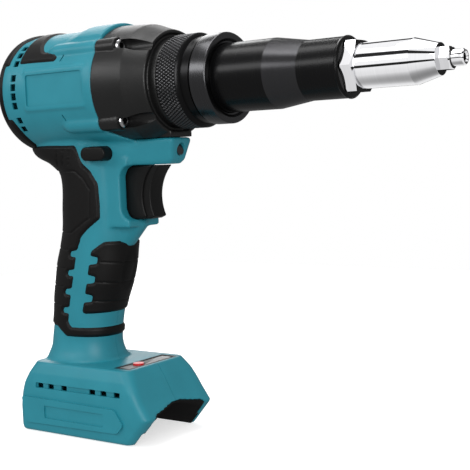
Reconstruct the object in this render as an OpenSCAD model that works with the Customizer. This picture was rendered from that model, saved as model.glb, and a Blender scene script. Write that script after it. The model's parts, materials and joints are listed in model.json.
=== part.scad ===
// Cordless rivet tool, bare, without its battery.
// +X runs along the barrel to the nose, +Y to the left of the tool and +Z up.
// The origin is under the middle of the tool's length, level with the underside of the base.

/* [Overall] */
// Height of the barrel axis above the underside of the base
axis_h = 219; // [205:1:235]
// Wall of the moulded housing halves
wall = 2.8; // [2.4:0.1:3.2]

/* [Motor head] */
// Length of the motor head, from its rear to the gear case
head_l = 86; // [82:1:96]
// Diameter of the motor head
head_d = 74.6; // [72:0.2:78]
// Rounding of the rear of the motor head
head_round = 14; // [10:1:18]
// Height by which the top of the head swells before the gear case
hump_h = 2.2; // [1:0.2:3]
// Width and height of the rear air slots
vent_size = 3.6; // [2.5:0.1:4.5]

/* [Gear case] */
// Length of the gear case
case_l = 37.5; // [36:0.5:44]
// Diameter of the gear case drum at its rear
case_d = 75; // [73:0.5:78]
// Diameter of the gear case drum at its front edge
case_front_d = 63; // [60:0.5:68]
// Sideways distance between the case screws
screw_span_y = 53; // [50:0.5:55]
// Upright distance between the case screws
screw_span_z = 44.2; // [42:0.2:47]
// Diameter of the ridges that hold the case screws
boss_d = 11.2; // [10:0.2:12]
// Length of the screw ridges on the gear case
boss_l = 15; // [12:0.5:18]

/* [Front end] */
// Length of the dark neck behind the knurled lock ring
neck_l = 4.2; // [3:0.2:6]
// Length of the knurled lock ring
ring_l = 16.6; // [14:0.2:20]
// Diameter over the knurls of the lock ring
ring_d = 56; // [53:0.5:58]
// Length of the plain groove of the lock ring
groove_l = 6.1; // [4:0.1:8]
// Length of the polished collar
collar_l = 12.7; // [10:0.1:16]
// Diameter of the polished collar
collar_d = 53; // [50:0.5:55]
// Length of the barrel in front of the collar
barrel_l = 79.4; // [75:0.2:86]
// Diameter of the barrel at the collar
barrel_d = 40; // [38.5:0.5:42]
// Diameter of the barrel at its front end
barrel_front_d = 33.4; // [31:0.2:35]
// Length of the hexagon jam nut
nut_l = 7.5; // [6:0.1:9]
// Width across the flats of the jam nut
nut_af = 27; // [26:0.5:30]
// Length of the straight part of the nose sleeve
sleeve_l = 31; // [28:0.5:36]
// Diameter of the nose sleeve
sleeve_d = 24.6; // [24:0.1:26]
// Length of the taper of the nose sleeve
cone_l = 13; // [11:0.5:15]
// Diameter of the front face of the nose sleeve
cone_front_d = 17; // [15:0.2:19]
// Length of the hexagon of the nosepiece
hex_l = 6.5; // [5:0.1:8]
// Width across the flats of the nosepiece
hex_af = 11.6; // [11:0.1:13]
// Length of the tip of the nosepiece
tip_l = 6.8; // [5:0.1:9]
// Diameter of the tip of the nosepiece
tip_d = 8.7; // [8:0.1:9.6]
// Bore of the nosepiece, for the rivet's mandrel
mandrel_d = 4.2; // [3.2:0.1:4.6]

/* [Handle] */
// Depth of the handle, front to back
handle_d = 56; // [53:0.5:60]
// Width of the handle
handle_w = 39; // [37:0.5:42]
// Distance from the gear case back to the middle of the handle's top
handle_back = 29.2; // [27:0.2:32]
// How far the foot of the handle lies behind its top
handle_lean = 18; // [15:0.2:21]
// Height by which the rubber grips stand proud
grip_proud = 1.1; // [0.8:0.1:1.4]
// Thickness of the front lip that holds the lamp
jaw_h = 16; // [15:0.2:18]
// Length of the front lip in front of the gear case's rear edge
jaw_l = 39; // [36:0.5:42]
// Width of the front lip at its front
jaw_w = 20.6; // [19:0.2:23]

/* [Base] */
// Length of the base at its longest
base_l = 110; // [106:0.5:116]
// Width of the base
base_w = 67.6; // [64:0.2:72]
// Height of the base
base_h = 45; // [43:0.5:48]
// Distance from the gear case back to the rear of the base
base_back = 80.5; // [78:0.5:84]
// Width of the battery dock
dock_w = 58; // [54:0.5:61]
// Height of the battery dock
dock_h = 19; // [17:0.5:21]
// Width of the display panel
panel_w = 48; // [44:0.5:52]
// Depth of the display panel, front to back
panel_d = 13; // [11:0.2:14]

/* [Controls] */
// Travel of the trigger
trigger_travel = 6; // [4:0.5:7]
// Width of the trigger
trigger_w = 15; // [13:0.5:17]
// Height of the trigger
trigger_h = 33; // [31:0.5:34]
// Travel of the direction button to each side
direction_travel = 2.5; // [1.5:0.1:3]
// Length of the direction button
direction_l = 20; // [17:0.5:22]
// Height of the direction button
direction_h = 8.6; // [7.6:0.2:9]
// Diameter of the mode button
mode_d = 7; // [6:0.2:8]

/* [Drive] */
// Stroke of the pull rod
stroke = 22; // [18:0.5:24]
// Diameter of the stator
stator_d = 52; // [48:0.5:54]
// Length of the stator
stator_l = 32; // [28:0.5:34]
// Diameter of the rotor
rotor_d = 26.6; // [25:0.2:28]
// Diameter of the rotor shaft
shaft_d = 8; // [7:0.1:9]
// Module of the planetary gears
gear_module = 1.05; // [1:0.01:1.08]
// Width of the gears
gear_w = 11; // [9:0.5:12]
// Diameter of the ball screw
screw_d = 15.8; // [15:0.1:16.4]
// Diameter of the ball nut
ball_nut_d = 30; // [29:0.2:30.6]
// Width across the flats of the pull rod's hexagon
rod_af = 12; // [11:0.2:13]

/* [Hidden] */
$fn = 64;

// Overrun of every cut, thickness of a loft's slices, and clearances
cut = 1;
sliver = 0.02;
seam = 0.1;
fit = 0.2;
run = 0.05;
gap = 0.4;
loft_n = 24;
loft_power = 2.3;
corner_n = 5;
head_n = 56;
post_n = 14;

// Stations along the barrel axis, from the rear of the head to the tip
tool_l = grip_proud + head_l + case_l + neck_l + ring_l + groove_l + collar_l + barrel_l + nut_l
         + sleeve_l + cone_l + hex_l + tip_l;
x_rear = -tool_l / 2 + grip_proud;
x_case = x_rear + head_l;
x_neck = x_case + case_l;
x_ring = x_neck + neck_l;
x_groove = x_ring + ring_l;
x_collar = x_groove + groove_l;
x_barrel = x_collar + collar_l;
x_nut = x_barrel + barrel_l;
x_sleeve = x_nut + nut_l;
x_cone = x_sleeve + sleeve_l;
x_hex = x_cone + cone_l;
x_tip = x_hex + hex_l;
x_end = x_tip + tip_l;
head_r = head_d / 2;
case_r = case_d / 2;
boss_r = boss_d / 2;

// Teeth of the planetary gears, the ring gear's rim and the wall of the gear case round it
sun_teeth = 12;
planet_teeth = 18;
ring_gear_teeth = sun_teeth + 2 * planet_teeth;
ring_gear_rim = 3.8;
ring_gear_r = gear_module * ring_gear_teeth / 2 + ring_gear_rim;
ring_wall = 2;

// Helpers

// Puts a shape drawn along +Z onto the barrel axis, with its +Z along +X
module on_axis(x = 0) {
    translate([x, 0, axis_h]) rotate([0, 90, 0]) children();
}

// A tube on the barrel axis from x0 to x1
module tube(x0, x1, r_out, r_in) {
    on_axis(x0) difference() {
        cylinder(h = x1 - x0, r = r_out);
        translate([0, 0, -cut]) cylinder(h = x1 - x0 + 2 * cut, r = r_in);
    }
}

// A plain round bar on the barrel axis from x0 to x1
module bar(x0, x1, r) {
    on_axis(x0) cylinder(h = x1 - x0, r = r);
}

// Copies a shape to the four case screws, which run along X
module at_case_screws() {
    for (sy = [-1, 1], sz = [-1, 1])
        translate([0, sy * screw_span_y / 2, axis_h + sz * screw_span_z / 2]) rotate([0, 90, 0]) children();
}

// Extrudes a side view, drawn in X and Z, to a width that is centred on the middle plane
module side_view(width) {
    translate([0, width / 2, 0]) rotate([90, 0, 0]) linear_extrude(height = width) children();
}

// Keeps one half of a shape: side is 1 for the left and -1 for the right
module half(side) {
    intersection() {
        children();
        translate([x_rear - 2 * cut, side > 0 ? seam / 2 : -base_w, -cut])
            cube([tool_l, base_w - seam / 2, axis_h + head_d]);
    }
}

function rounded(a, b) = [for (i = [0 : loft_n - 1])
    let(c = cos(360 * i / loft_n), s = sin(360 * i / loft_n))
    [a * sign(c) * pow(abs(c), 2 / loft_power), b * sign(s) * pow(abs(s), 2 / loft_power)]];

// One thin level slice of a loft: row is [height, middle, half depth, half width]
module slice(row, grow) {
    translate([row[1], 0, row[0]]) linear_extrude(height = sliver)
        polygon(rounded(row[2] + grow, row[3] + grow));
}

module loft(rows, grow) {
    for (i = [0 : len(rows) - 2])
        hull() {
            slice(rows[i], grow);
            slice(rows[i + 1], grow);
        }
}

// Moulded housing

// Rows of the handle: shares of its height, of its lean, of its depth and of its width
handle_shares = [[0.00, 1.03, 0.98, 1.23], [0.03, 1.03, 0.94, 1.08], [0.06, 1.01, 0.89, 1.00],
                 [0.10, 1.00, 0.88, 0.95], [0.22, 0.83, 0.87, 0.95], [0.30, 0.69, 0.92, 0.97],
                 [0.38, 0.50, 0.96, 1.00], [0.46, 0.35, 0.98, 1.00], [0.54, 0.20, 0.94, 1.00],
                 [0.62, 0.06, 0.93, 1.00], [0.70, 0.00, 0.94, 1.00], [0.88, 0.00, 0.94, 1.00],
                 [0.94, 0.28, 1.12, 1.00], [0.975, 0.60, 1.33, 1.00], [1.01, 0.73, 1.41, 1.00],
                 [1.06, 0.73, 1.41, 1.00]];
handle_z0 = base_h;
handle_run = axis_h - head_r - base_h;
x_handle = x_case - handle_back;
handle_rows = [for (s = handle_shares)
    [handle_z0 + s[0] * handle_run, x_handle - s[1] * handle_lean, s[2] * handle_d / 2,
     s[3] * handle_w / 2]];

function handle_x(z) = x_handle - handle_lean
    * lookup((z - handle_z0) / handle_run, [for (s = handle_shares) [s[0], s[1]]]);

// Rows of the base: shares of its height, of its length at the rear and at the front and of its width,
// and the share of its width that rounds its corners
base_shares = [[0.00, 0.010, 0.868, 0.985, 0.075], [0.06, 0.000, 0.890, 1.000, 0.080],
               [0.37, 0.000, 1.000, 1.000, 0.080], [0.57, 0.015, 0.942, 0.995, 0.080],
               [0.70, 0.030, 0.912, 0.985, 0.085], [0.84, 0.058, 0.880, 0.950, 0.095],
               [1.00, 0.095, 0.835, 0.860, 0.110]];
x_base = x_case - base_back;
base_rows = [for (s = base_shares)
    [s[0] * base_h, x_base + (s[1] + s[2]) * base_l / 2, (s[2] - s[1]) * base_l / 2, s[3] * base_w / 2,
     s[4] * base_w]];

// Points of a rounded box, a quarter of them at each corner
function box_points(a, b, r) = [for (q = [0 : 3], i = [0 : corner_n])
    let(t = 90 * (q + i / corner_n), sx = q == 0 || q == 3 ? 1 : -1, sy = q < 2 ? 1 : -1)
    [sx * (a - r) + r * cos(t), sy * (b - r) + r * sin(t)]];

module base_slice(row, grow) {
    translate([row[1], 0, row[0]]) linear_extrude(height = sliver)
        polygon(box_points(row[2] + grow, row[3] + grow, row[4] + grow));
}

module base_form(grow) {
    for (i = [0 : len(base_rows) - 2])
        hull() {
            base_slice(base_rows[i], grow);
            base_slice(base_rows[i + 1], grow);
        }
}

module head_form(grow) {
    steps = 6;
    x_front = x_case + (grow < 0 ? cut : 0);
    on_axis() rotate_extrude($fn = head_n) polygon(concat(
        [[0, x_rear - grow]],
        [for (i = [0 : steps]) let(t = 90 * i / steps)
            [head_r - head_round + (head_round + grow) * sin(t),
             x_rear + head_round - (head_round + grow) * cos(t)]],
        [[head_r + grow, x_front], [0, x_front]]));
}

// Swelling along the top of the head, in front of a short ramp
hump_ramp_l = 12;
hump_l = 20;
hump_w = 50;
ridge_l = 29;

module head_hump() {
    intersection() {
        on_axis() rotate_extrude($fn = head_n) polygon([[0, x_case - hump_l - hump_ramp_l],
            [head_r, x_case - hump_l - hump_ramp_l], [head_r + hump_h, x_case - hump_l],
            [head_r + hump_h, x_case], [0, x_case]]);
        translate([x_rear, -hump_w / 2, axis_h]) cube([head_l, hump_w, head_d]);
    }
}

// Flat raised panel on each side of the head, with a sunk field
pad_l = 49.9;
pad_h = 25.3;
pad_front = 6.7;
pad_sink = 0.6;
pad_frame = 2.9;
pad_end = 1.2;
pad_in = 0.8;
pad_y = head_r - pad_in;

module side_pads() {
    translate([x_case - pad_front - pad_l, -pad_y, axis_h - pad_h / 2]) cube([pad_l, 2 * pad_y, pad_h]);
}

module side_pad_cuts() {
    for (side = [-1, 1]) {
        translate([x_case - pad_front - pad_l, side * (pad_y + cut), axis_h - pad_h / 2])
            translate([0, -cut, 0]) cube([pad_l, 2 * cut, pad_h]);
        translate([x_case - pad_front - pad_l + pad_end, side * (pad_y + cut - pad_sink) - cut,
                   axis_h - pad_h / 2 + pad_frame])
            cube([pad_l - 2 * pad_end, 2 * cut, pad_h - 2 * pad_frame]);
    }
}

// Front lip under the gear case, in plan wide at the handle and narrow at the lamp
jaw_rise = 4.5;
jaw_gap_z = 1;
jaw_top = axis_h - max(head_r - jaw_rise, ring_gear_r + ring_wall + jaw_gap_z);
jaw_rake = 3.5;
jaw_round = 2.5;
jaw_under_share = 0.74;
x_jaw = x_case + jaw_l;

module jaw_plan(x_front, front_w, root_w, grow) {
    linear_extrude(height = sliver) hull()
        for (side = [-1, 1]) {
            translate([x_front - jaw_round, side * (front_w / 2 - jaw_round)])
                circle(r = jaw_round + grow, $fn = post_n);
            translate([x_handle, side * (root_w / 2 - jaw_round)]) circle(r = jaw_round + grow, $fn = post_n);
        }
}

module jaw_form(grow) {
    under_w = jaw_under_share * jaw_w;
    x_under = x_jaw - jaw_rake;
    hull() {
        translate([0, 0, jaw_top - jaw_round / 2 + grow]) jaw_plan(x_jaw, jaw_w, handle_w, grow);
        translate([0, 0, jaw_top - jaw_h + jaw_round - grow]) jaw_plan(x_under, under_w, handle_w, grow);
        translate([0, 0, jaw_top - sliver + grow])
            jaw_plan(x_jaw - jaw_round / 2, jaw_w - jaw_round, handle_w - jaw_round, grow);
        translate([0, 0, jaw_top - jaw_h - grow])
            jaw_plan(x_under - jaw_round, under_w - jaw_round, handle_w - jaw_round, grow);
    }
}

// Saddle between the head and the front lip, under the rear edge of the gear case
saddle_l = 13;
saddle_h = 6;
saddle_w = 46;

module saddle_view() {
    polygon([[x_case - saddle_l, jaw_top - jaw_h / 2], [x_case - saddle_l, jaw_top + saddle_h],
             [x_case, jaw_top + saddle_h], [x_case + saddle_l * (1 + cut / saddle_h), jaw_top - cut],
             [x_case + saddle_l, jaw_top - jaw_h / 2]]);
}

// Side view of all that lies under the gear case
module under_case_view(clear) {
    polygon([[x_case - 2 * cut, jaw_top + saddle_h + clear], [x_case + clear, jaw_top + saddle_h + clear],
             [x_case + saddle_l + clear, jaw_top + clear], [x_ring + case_l, jaw_top + clear],
             [x_ring + case_l, 0], [x_case - 2 * cut, 0]]);
}

module saddle() {
    difference() {
        intersection() {
            side_view(saddle_w) saddle_view();
            bar(x_case - saddle_l - cut, x_case + saddle_l + cut, head_r);
        }
        bar(x_case - saddle_l - 2 * cut, x_case + saddle_l + 2 * cut, ring_gear_r + ring_wall);
    }
}

// Finger lip of the housing below the trigger
trigger_z = jaw_top - jaw_h - trigger_h - gap;
lip_h = 13;
lip_reach = 12;
lip_round = 2;
lip_root = 4;
lip_w_share = 0.6;

module lip_form(grow) {
    lip_z = trigger_z - gap - cut;
    lip_w = lip_w_share * handle_w;
    hull() {
        slice([lip_z + grow, x_handle + lip_reach, handle_d / 2, lip_w / 2], grow);
        slice([lip_z - lip_round, x_handle + lip_reach - lip_round / 2, handle_d / 2, lip_w / 2], grow);
        slice([lip_z - lip_h, x_handle, handle_d / 2 - lip_root, lip_w / 2], grow);
    }
}

// Cheeks beside the root of the trigger, which round off its mouth
mouth_in = 5.4;
mouth_round = 8;
cheek_w = 30;
cheek_drop = 5;
cheek_reach = 12;

module trigger_cheeks() {
    side_view(cheek_w) translate([x_handle, trigger_z - cheek_drop])
        square([x_trigger + cheek_reach - x_handle, trigger_h + 2 * cheek_drop]);
}

module trigger_mouth() {
    side_view(2 * base_w) hull() {
        for (z = [trigger_z - gap / 2 + mouth_round, trigger_z + trigger_h + gap / 2 - mouth_round])
            translate([x_trigger + mouth_in + mouth_round, z]) circle(r = mouth_round, $fn = head_n);
        translate([x_trigger + handle_d, trigger_z - gap / 2]) square([handle_d, trigger_h + gap]);
    }
}

module outer_form() {
    head_form(0);
    trigger_cheeks();
    head_hump();
    side_pads();
    loft(handle_rows, 0);
    lip_form(0);
    jaw_form(0);
    saddle();
    base_form(0);
}

// Battery dock: an open space under the base that the battery slides into from the front
dock_wall = 4.5;
dock_round = 6;
dock_rail = 3;
dock_rail_z = 8;
dock_rise = 3.5;
x_dock = x_base + 2 * dock_wall;
floor_z = dock_h + dock_rise + wall;

module dock_space() {
    dock_x = x_base + base_l + cut - x_dock;
    translate([x_dock, 0, 0]) rotate([90, 0, 90]) linear_extrude(height = dock_x) union() {
        translate([-dock_w / 2, -cut]) square([dock_w, dock_rail_z + cut]);
        hull() {
            translate([-dock_w / 2 + dock_rail, dock_rail_z - cut]) square([dock_w - 2 * dock_rail, cut]);
            for (side = [-1, 1])
                translate([side * (dock_w / 2 - dock_rail - dock_round), dock_h - dock_round])
                    circle(r = dock_round, $fn = post_n);
            translate([0, dock_h + dock_rise - dock_round]) circle(r = dock_round, $fn = post_n);
        }
    }
}

module base_space() {
    intersection() {
        base_form(-wall);
        translate([x_base, -base_w / 2, floor_z]) cube([base_l, base_w, base_h - floor_z - wall]);
    }
}

module inner_form() {
    head_form(-wall);
    intersection() {
        loft(handle_rows, -wall);
        translate([x_rear, -base_w / 2, floor_z]) cube([tool_l, base_w, axis_h - floor_z]);
    }
    intersection() {
        jaw_form(-wall);
        translate([x_rear, -base_w / 2, jaw_top - jaw_h]) cube([tool_l, base_w, jaw_h - wall]);
    }
    base_space();
}

// Drive positions, measured back from the gear case's rear edge and forward from the rear of the head
plate_l = 8;
spigot_l = 4;
plate_x = x_case - plate_l - spigot_l;
bearing_d = 19;
bearing_l = 6.5;
bearing_gap = 2;
rear_bearing_x = x_rear + wall + bearing_gap;
fan_l = 9;
fan_gap = 2.5;
fan_x = rear_bearing_x + bearing_l + fan_gap;
stator_gap = 3;
stator_x = fan_x + fan_l + stator_gap;
stator_seat_l = 4;

// Ribs that hold the stator, the rear bearing, the switch and the screws
rib = 2.4;
switch_l = 34;
switch_w = 22;
switch_h = 26;
switch_rib_shares = [0.25, 0.75];
switch_in = 5;
switch_x = x_handle + handle_d / 2 - trigger_travel - switch_l - switch_in;
switch_z = trigger_z + (trigger_h - switch_h) / 2;

module inner_ribs() {
    for (x = [stator_x + rib, stator_x + stator_l - stator_seat_l - rib])
        tube(x, x + stator_seat_l, head_r - wall / 2, stator_d / 2 + fit);
    tube(x_rear + wall / 2, rear_bearing_x + bearing_l - rib / 2, bearing_d / 2 + rib, bearing_d / 2 + fit);
    tube(plate_x - rib, plate_x, head_r - wall / 2, head_r - wall - rib);
    intersection() {
        loft(handle_rows, -wall / 2);
        for (share = switch_rib_shares)
            translate([switch_x + rib, 0, switch_z + share * switch_h]) difference() {
                translate([0, -handle_w / 2, -rib / 2]) cube([switch_l - 2 * rib, handle_w, rib]);
                translate([-cut, -switch_w / 2 - fit, -rib]) cube([switch_l, switch_w + 2 * fit, 2 * rib]);
            }
    }
}

// Housing screws run in from the left
post_r = 4;
screw_r = 1.6;
screw_head_r = 3.2;
screw_head_h = 2.6;
screw_l = 15;
screw_seat = 6;
post_in = 11;
post_shares = [0.22, 0.53];
jaw_post_share = 0.55;
neck_post_share = 0.3;
post_places = concat([[x_base + post_in, floor_z + 2 * post_r]],
    [for (share = post_shares) let(z = handle_z0 + share * handle_run) [handle_x(z), z]],
    [[x_case + jaw_post_share * jaw_l, jaw_top - jaw_h / 2],
     [x_handle - neck_post_share * handle_d, jaw_top - jaw_h / 2]]);

module at_posts() {
    for (p = post_places) translate([p[0], 0, p[1]]) rotate([-90, 0, 0]) children();
}

module posts() {
    intersection() {
        union() {
            loft(handle_rows, -wall / 2);
            base_form(-wall / 2);
            jaw_form(-wall / 2);
        }
        at_posts() translate([0, 0, -base_w / 2]) cylinder(h = base_w, r = post_r, $fn = post_n);
    }
}

module screw_cuts() {
    at_posts() {
        translate([0, 0, -screw_l + screw_seat - fit]) cylinder(h = base_w, r = screw_r + fit, $fn = post_n);
        translate([0, 0, screw_seat]) cylinder(h = base_w, r = screw_head_r + fit, $fn = post_n);
    }
}

// Rows of air slots round the rear of the head: shares of a half turn from the top
vent_shares = [0.23, 0.285, 0.34, 0.425, 0.475, 0.525, 0.575, 0.66, 0.715];
vent_in = 20;
vent_x = x_rear + vent_in;

module head_vents() {
    for (side = [-1, 1], share = vent_shares)
        translate([vent_x, 0, axis_h]) rotate([side * 180 * share, 0, 0])
            translate([0, 0, head_r]) cube([vent_size, vent_size, 4 * wall], center = true);
}

// Air slots and grooves along the sides of the base
base_vent_shares = [0.18, 0.265, 0.37, 0.59, 0.675, 0.775];
base_vent_share = 0.68;
base_vent_z = base_vent_share * base_h;
base_vent_h = 3.2;
base_vent_w = 4;
groove_depth = 1.1;
groove_mid_share = 0.48;
groove_l_share = 0.66;

module base_vents() {
    for (side = [-1, 1]) {
        for (share = base_vent_shares)
            translate([x_base + share * base_l, side * base_w / 2, base_vent_z])
                cube([base_vent_w, 4 * wall, base_vent_h], center = true);
        translate([x_base + groove_mid_share * base_l, side * base_w / 2, base_vent_z])
            cube([groove_l_share * base_l, 2 * groove_depth, base_vent_h], center = true);
    }
}

// Trigger, button, lamp and display openings
direction_share = 0.27;
direction_x = x_handle + direction_share * handle_d;
direction_z = jaw_top - jaw_h / 2;
lamp_r = 3.4;
lamp_l = 6;
lamp_share = 0.45;
lamp_z = jaw_top - lamp_share * jaw_h;
lamp_tilt = -atan(jaw_rake / jaw_h);
panel_t = 1.6;
panel_share = 0.752;
x_panel = x_base + panel_share * base_l;
mode_share = -0.156;
mode_y = mode_share * panel_w;

// Puts a shape drawn along +Z onto the lamp, with its +Z out of the front lip
module at_lamp() {
    translate([x_jaw - jaw_rake / 2, 0, lamp_z]) rotate([0, 90 + lamp_tilt, 0]) children();
}

// Solid seat behind the lamp
module lamp_holder() {
    intersection() {
        jaw_form(-wall / 2);
        at_lamp() translate([0, 0, -lamp_l - wall]) cylinder(h = 2 * lamp_l, r = lamp_r + wall, $fn = post_n);
    }
}

module direction_shape(grow) {
    hull() for (end = [-1, 1])
        translate([direction_x + end * (direction_l - direction_h) / 2, 0, direction_z])
            rotate([90, 0, 0]) cylinder(h = 2 * base_w, r = direction_h / 2 + grow, center = true, $fn = 32);
}

module openings() {
    translate([switch_x + switch_l + fit, -trigger_w / 2 - gap, trigger_z - gap])
        cube([handle_d, trigger_w + 2 * gap, trigger_h + 2 * gap]);
    trigger_mouth();
    direction_shape(fit);
    at_lamp() translate([0, 0, -lamp_l]) cylinder(h = 2 * lamp_l, r = lamp_r + fit, $fn = post_n);
    translate([x_panel - panel_d / 2 - run, -panel_w / 2 - run, base_h - panel_t])
        cube([panel_d + 2 * run, panel_w + 2 * run, panel_t + cut]);
    translate([x_panel, mode_y, base_h - 4 * panel_t])
        cylinder(h = 4 * panel_t, r = mode_d / 2 + gap, $fn = post_n);
    dock_space();
    head_vents();
    base_vents();
    screw_cuts();
    at_case_screws() translate([0, 0, x_case - ridge_l + wall])
        cylinder(h = ridge_l, r = case_screw_r + fit, $fn = post_n);
}

// Seats for the control board and the terminal block, above and below the dock's ceiling
board_rear = 17;
board_front = 31;
board_l = base_l - board_rear - board_front;
board_w = 40;
board_t = 1.6;
board_rise = 4;
board_z = floor_z + board_rise;
board_x = x_base + board_rear;
block_l = 14;
block_w = 34;
block_h = 15;
block_x = x_dock + fit;
block_z = dock_h - block_h;

module board_posts() {
    for (x = [board_x + 2 * post_r, board_x + board_l - 2 * post_r], side = [-1, 1])
        translate([x, side * (board_w / 2 - post_r), floor_z - wall / 2])
            cylinder(h = board_z - floor_z + wall / 2, r = post_r, $fn = post_n);
}

module housing_half(side) {
    half(side) difference() {
        union() {
            difference() {
                outer_form();
                inner_form();
            }
            inner_ribs();
            posts();
            board_posts();
            lamp_holder();
            at_case_screws() translate([0, 0, x_case - ridge_l])
                cylinder(h = ridge_l - seam, r = boss_r, $fn = post_n);
        }
        side_pad_cuts();
        openings();
    }
}

module left_housing() { color("teal") housing_half(1); }
module right_housing() { color("teal") housing_half(-1); }

// Rubber overmoulds

// A point of the handle's side view: shares of the half depth from its middle line, and of its height
function grip_point(p) = let(z = handle_z0 + p[1] * handle_run) [handle_x(z) + p[0] * handle_d / 2, z];

// Teeth along the edge of a grip: a row of notches cut back from the edge share to the root share
notch_top_share = 0.2;
notch_end_share = 0.9;
function teeth(edge_share, root_share, first_share, pitch_share, notch_share, count) = [
    for (i = [0 : count - 1])
    for (p = [[edge_share, 0], [root_share, -notch_top_share * notch_share],
              [root_share, -notch_end_share * notch_share], [edge_share, -notch_share]])
        [p[0], first_share - i * pitch_share + p[1]]];

rear_shares = concat(
    [[-2.2, 1.06], [0.30, 1.06], [0.35, 1.015], [0.42, 0.995], [0.36, 0.963], [0.24, 0.935], [0.34, 0.898],
     [0.47, 0.837], [0.50, 0.741], [0.50, 0.677], [0.19, 0.627], [0.03, 0.594], [-0.02, 0.545]],
    teeth(-0.05, -0.24, 0.530, 0.09, 0.032, 4),
    [[-0.05, 0.189], [0.06, 0.163], [1.60, 0.163], [1.60, 0.115], [-0.06, 0.118], [-0.16, 0.130],
     [-0.42, 0.162], [-1.80, 0.170]]);
front_shares = concat(
    [[1.60, 0.572], [0.62, 0.570], [0.36, 0.528]],
    teeth(0.35, 0.54, 0.506, 0.09, 0.042, 3),
    [[0.33, 0.240], [0.39, 0.230], [1.60, 0.235]]);
grip_fit = 0.1;

module handle_skin(side, shares) {
    half(side) intersection() {
        difference() {
            loft(handle_rows, grip_proud);
            loft(handle_rows, grip_fit);
            head_form(grip_fit);
            jaw_form(grip_fit);
            lip_form(grip_fit);
        }
        side_view(base_w) polygon([for (share = shares) grip_point(share)]);
    }
}

// Rubber cap round the rear of the head: shares of its length and of the head's radius along its edge
bumper_l = 18;
bumper_shares = [[0.44, 0.48], [0.58, 0.64], [0.64, 0.72], [0.72, 0.83], [0.89, 0.92], [1, 1], [1, 2]];
bumper_edge = [for (s = bumper_shares) [x_rear + s[0] * bumper_l, s[1] * head_r]];
neck_row = handle_rows[len(handle_rows) - 1];

module rear_bumper() {
    color("dimgray") intersection() {
        difference() {
            head_form(grip_proud);
            head_form(grip_fit);
            translate([neck_row[1], 0, 0]) linear_extrude(height = neck_row[0])
                polygon(rounded(neck_row[2] + grip_proud + grip_fit, neck_row[3] + grip_proud + grip_fit));
        }
        side_view(2 * head_d) polygon(concat(
            [for (i = [len(bumper_edge) - 1 : -1 : 0]) [bumper_edge[i][0], axis_h - bumper_edge[i][1]]],
            [for (p = bumper_edge) [p[0], axis_h + p[1]]],
            [[x_rear - 2 * cut, axis_h + head_d], [x_rear - 2 * cut, axis_h - head_d]]));
    }
}

// Hooked rubber pad on the upper rear of each side of the head
pad_outline_shares = [[0.36, 0.465], [0.345, 1.10], [0.485, 1.10], [0.586, 0.735], [0.65, 0.63],
                      [0.83, 0.61], [0.865, 0.535], [0.85, 0.45]];
head_pad_l = 64;

module head_pad(side) {
    half(side) intersection() {
        difference() {
            head_form(grip_proud);
            head_form(grip_fit);
            side_pads();
        }
        side_view(base_w + head_d) polygon([for (p = pad_outline_shares)
            [x_rear + p[0] * head_pad_l, axis_h + p[1] * head_r]]);
    }
}

module left_rear_grip() { color("dimgray") handle_skin(1, rear_shares); }
module right_rear_grip() { color("dimgray") handle_skin(-1, rear_shares); }
module left_front_grip() { color("dimgray") handle_skin(1, front_shares); }
module right_front_grip() { color("dimgray") handle_skin(-1, front_shares); }
module left_head_pad() { color("dimgray") head_pad(1); }
module right_head_pad() { color("dimgray") head_pad(-1); }

// Fasteners

case_screw_r = 2;
case_screw_head_r = 3.4;
case_screw_head_h = 3;
case_screw_l = 32;
socket_r = 1.7;
counterbore = 2;

module case_screws() {
    x_seat = x_case + boss_l - counterbore;
    color("silver") at_case_screws() difference() {
        union() {
            translate([0, 0, x_seat]) cylinder(h = case_screw_head_h, r = case_screw_head_r);
            translate([0, 0, x_seat - case_screw_l]) cylinder(h = case_screw_l, r = case_screw_r);
        }
        translate([0, 0, x_seat + case_screw_head_h / 2])
            cylinder(h = case_screw_head_h, r = socket_r, $fn = 6);
    }
}

module housing_screws() {
    color("dimgray") at_posts() difference() {
        union() {
            translate([0, 0, screw_seat]) cylinder(h = screw_head_h, r = screw_head_r);
            translate([0, 0, screw_seat - screw_l + fit]) cylinder(h = screw_l - fit, r = screw_r);
        }
        translate([0, 0, screw_seat + screw_head_h / 2]) cylinder(h = screw_head_h, r = screw_r, $fn = 6);
    }
}

// Gear case and front end

gear_gap = 1;
gears_x = x_case + gear_gap;
carrier_t = 4.5;
carrier_gap = 1.5;
carrier_x = gears_x + gear_w + carrier_gap;
nut_flange_r = 22;
nut_flange_t = 4;
ball_nut_r = ball_nut_d / 2;
nut_x = carrier_x + carrier_t;
nut_bearing_x = nut_x + nut_flange_t;
nut_bearing_l = 12;
nut_bearing_r = 23.5;
spigot_r = 22;
nut_gap = 1;
spigot_bore_r = ball_nut_r + nut_gap;
flange_t = 3;
ring_lip = 1.3;
x_spigot = x_groove - flange_t - ring_lip;
case_foot_t = 3.6;
case_foot_in = 3;
case_lip = 2;
neck_in = 1;
case_edge_shares = [0, 0.22, 0.55, 0.82, 1];
case_drop_shares = [0, 0.05, 0.16, 0.58, 1];

// Notches for the heads of the case screws, open to the outside
module screw_notches() {
    for (sy = [-1, 1], sz = [-1, 1])
        hull() for (out = [1, 2])
            translate([x_case + boss_l - counterbore, out * sy * screw_span_y / 2,
                       axis_h + out * sz * screw_span_z / 2])
                rotate([0, 90, 0]) cylinder(h = boss_l, r = case_screw_head_r + fit);
}

// Outline of the drum: it tapers slowly, then turns in to its front edge
function case_point(i) = [case_r - case_drop_shares[i] * (case_r - case_front_d / 2),
    x_case + case_edge_shares[i] * case_l];

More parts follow.
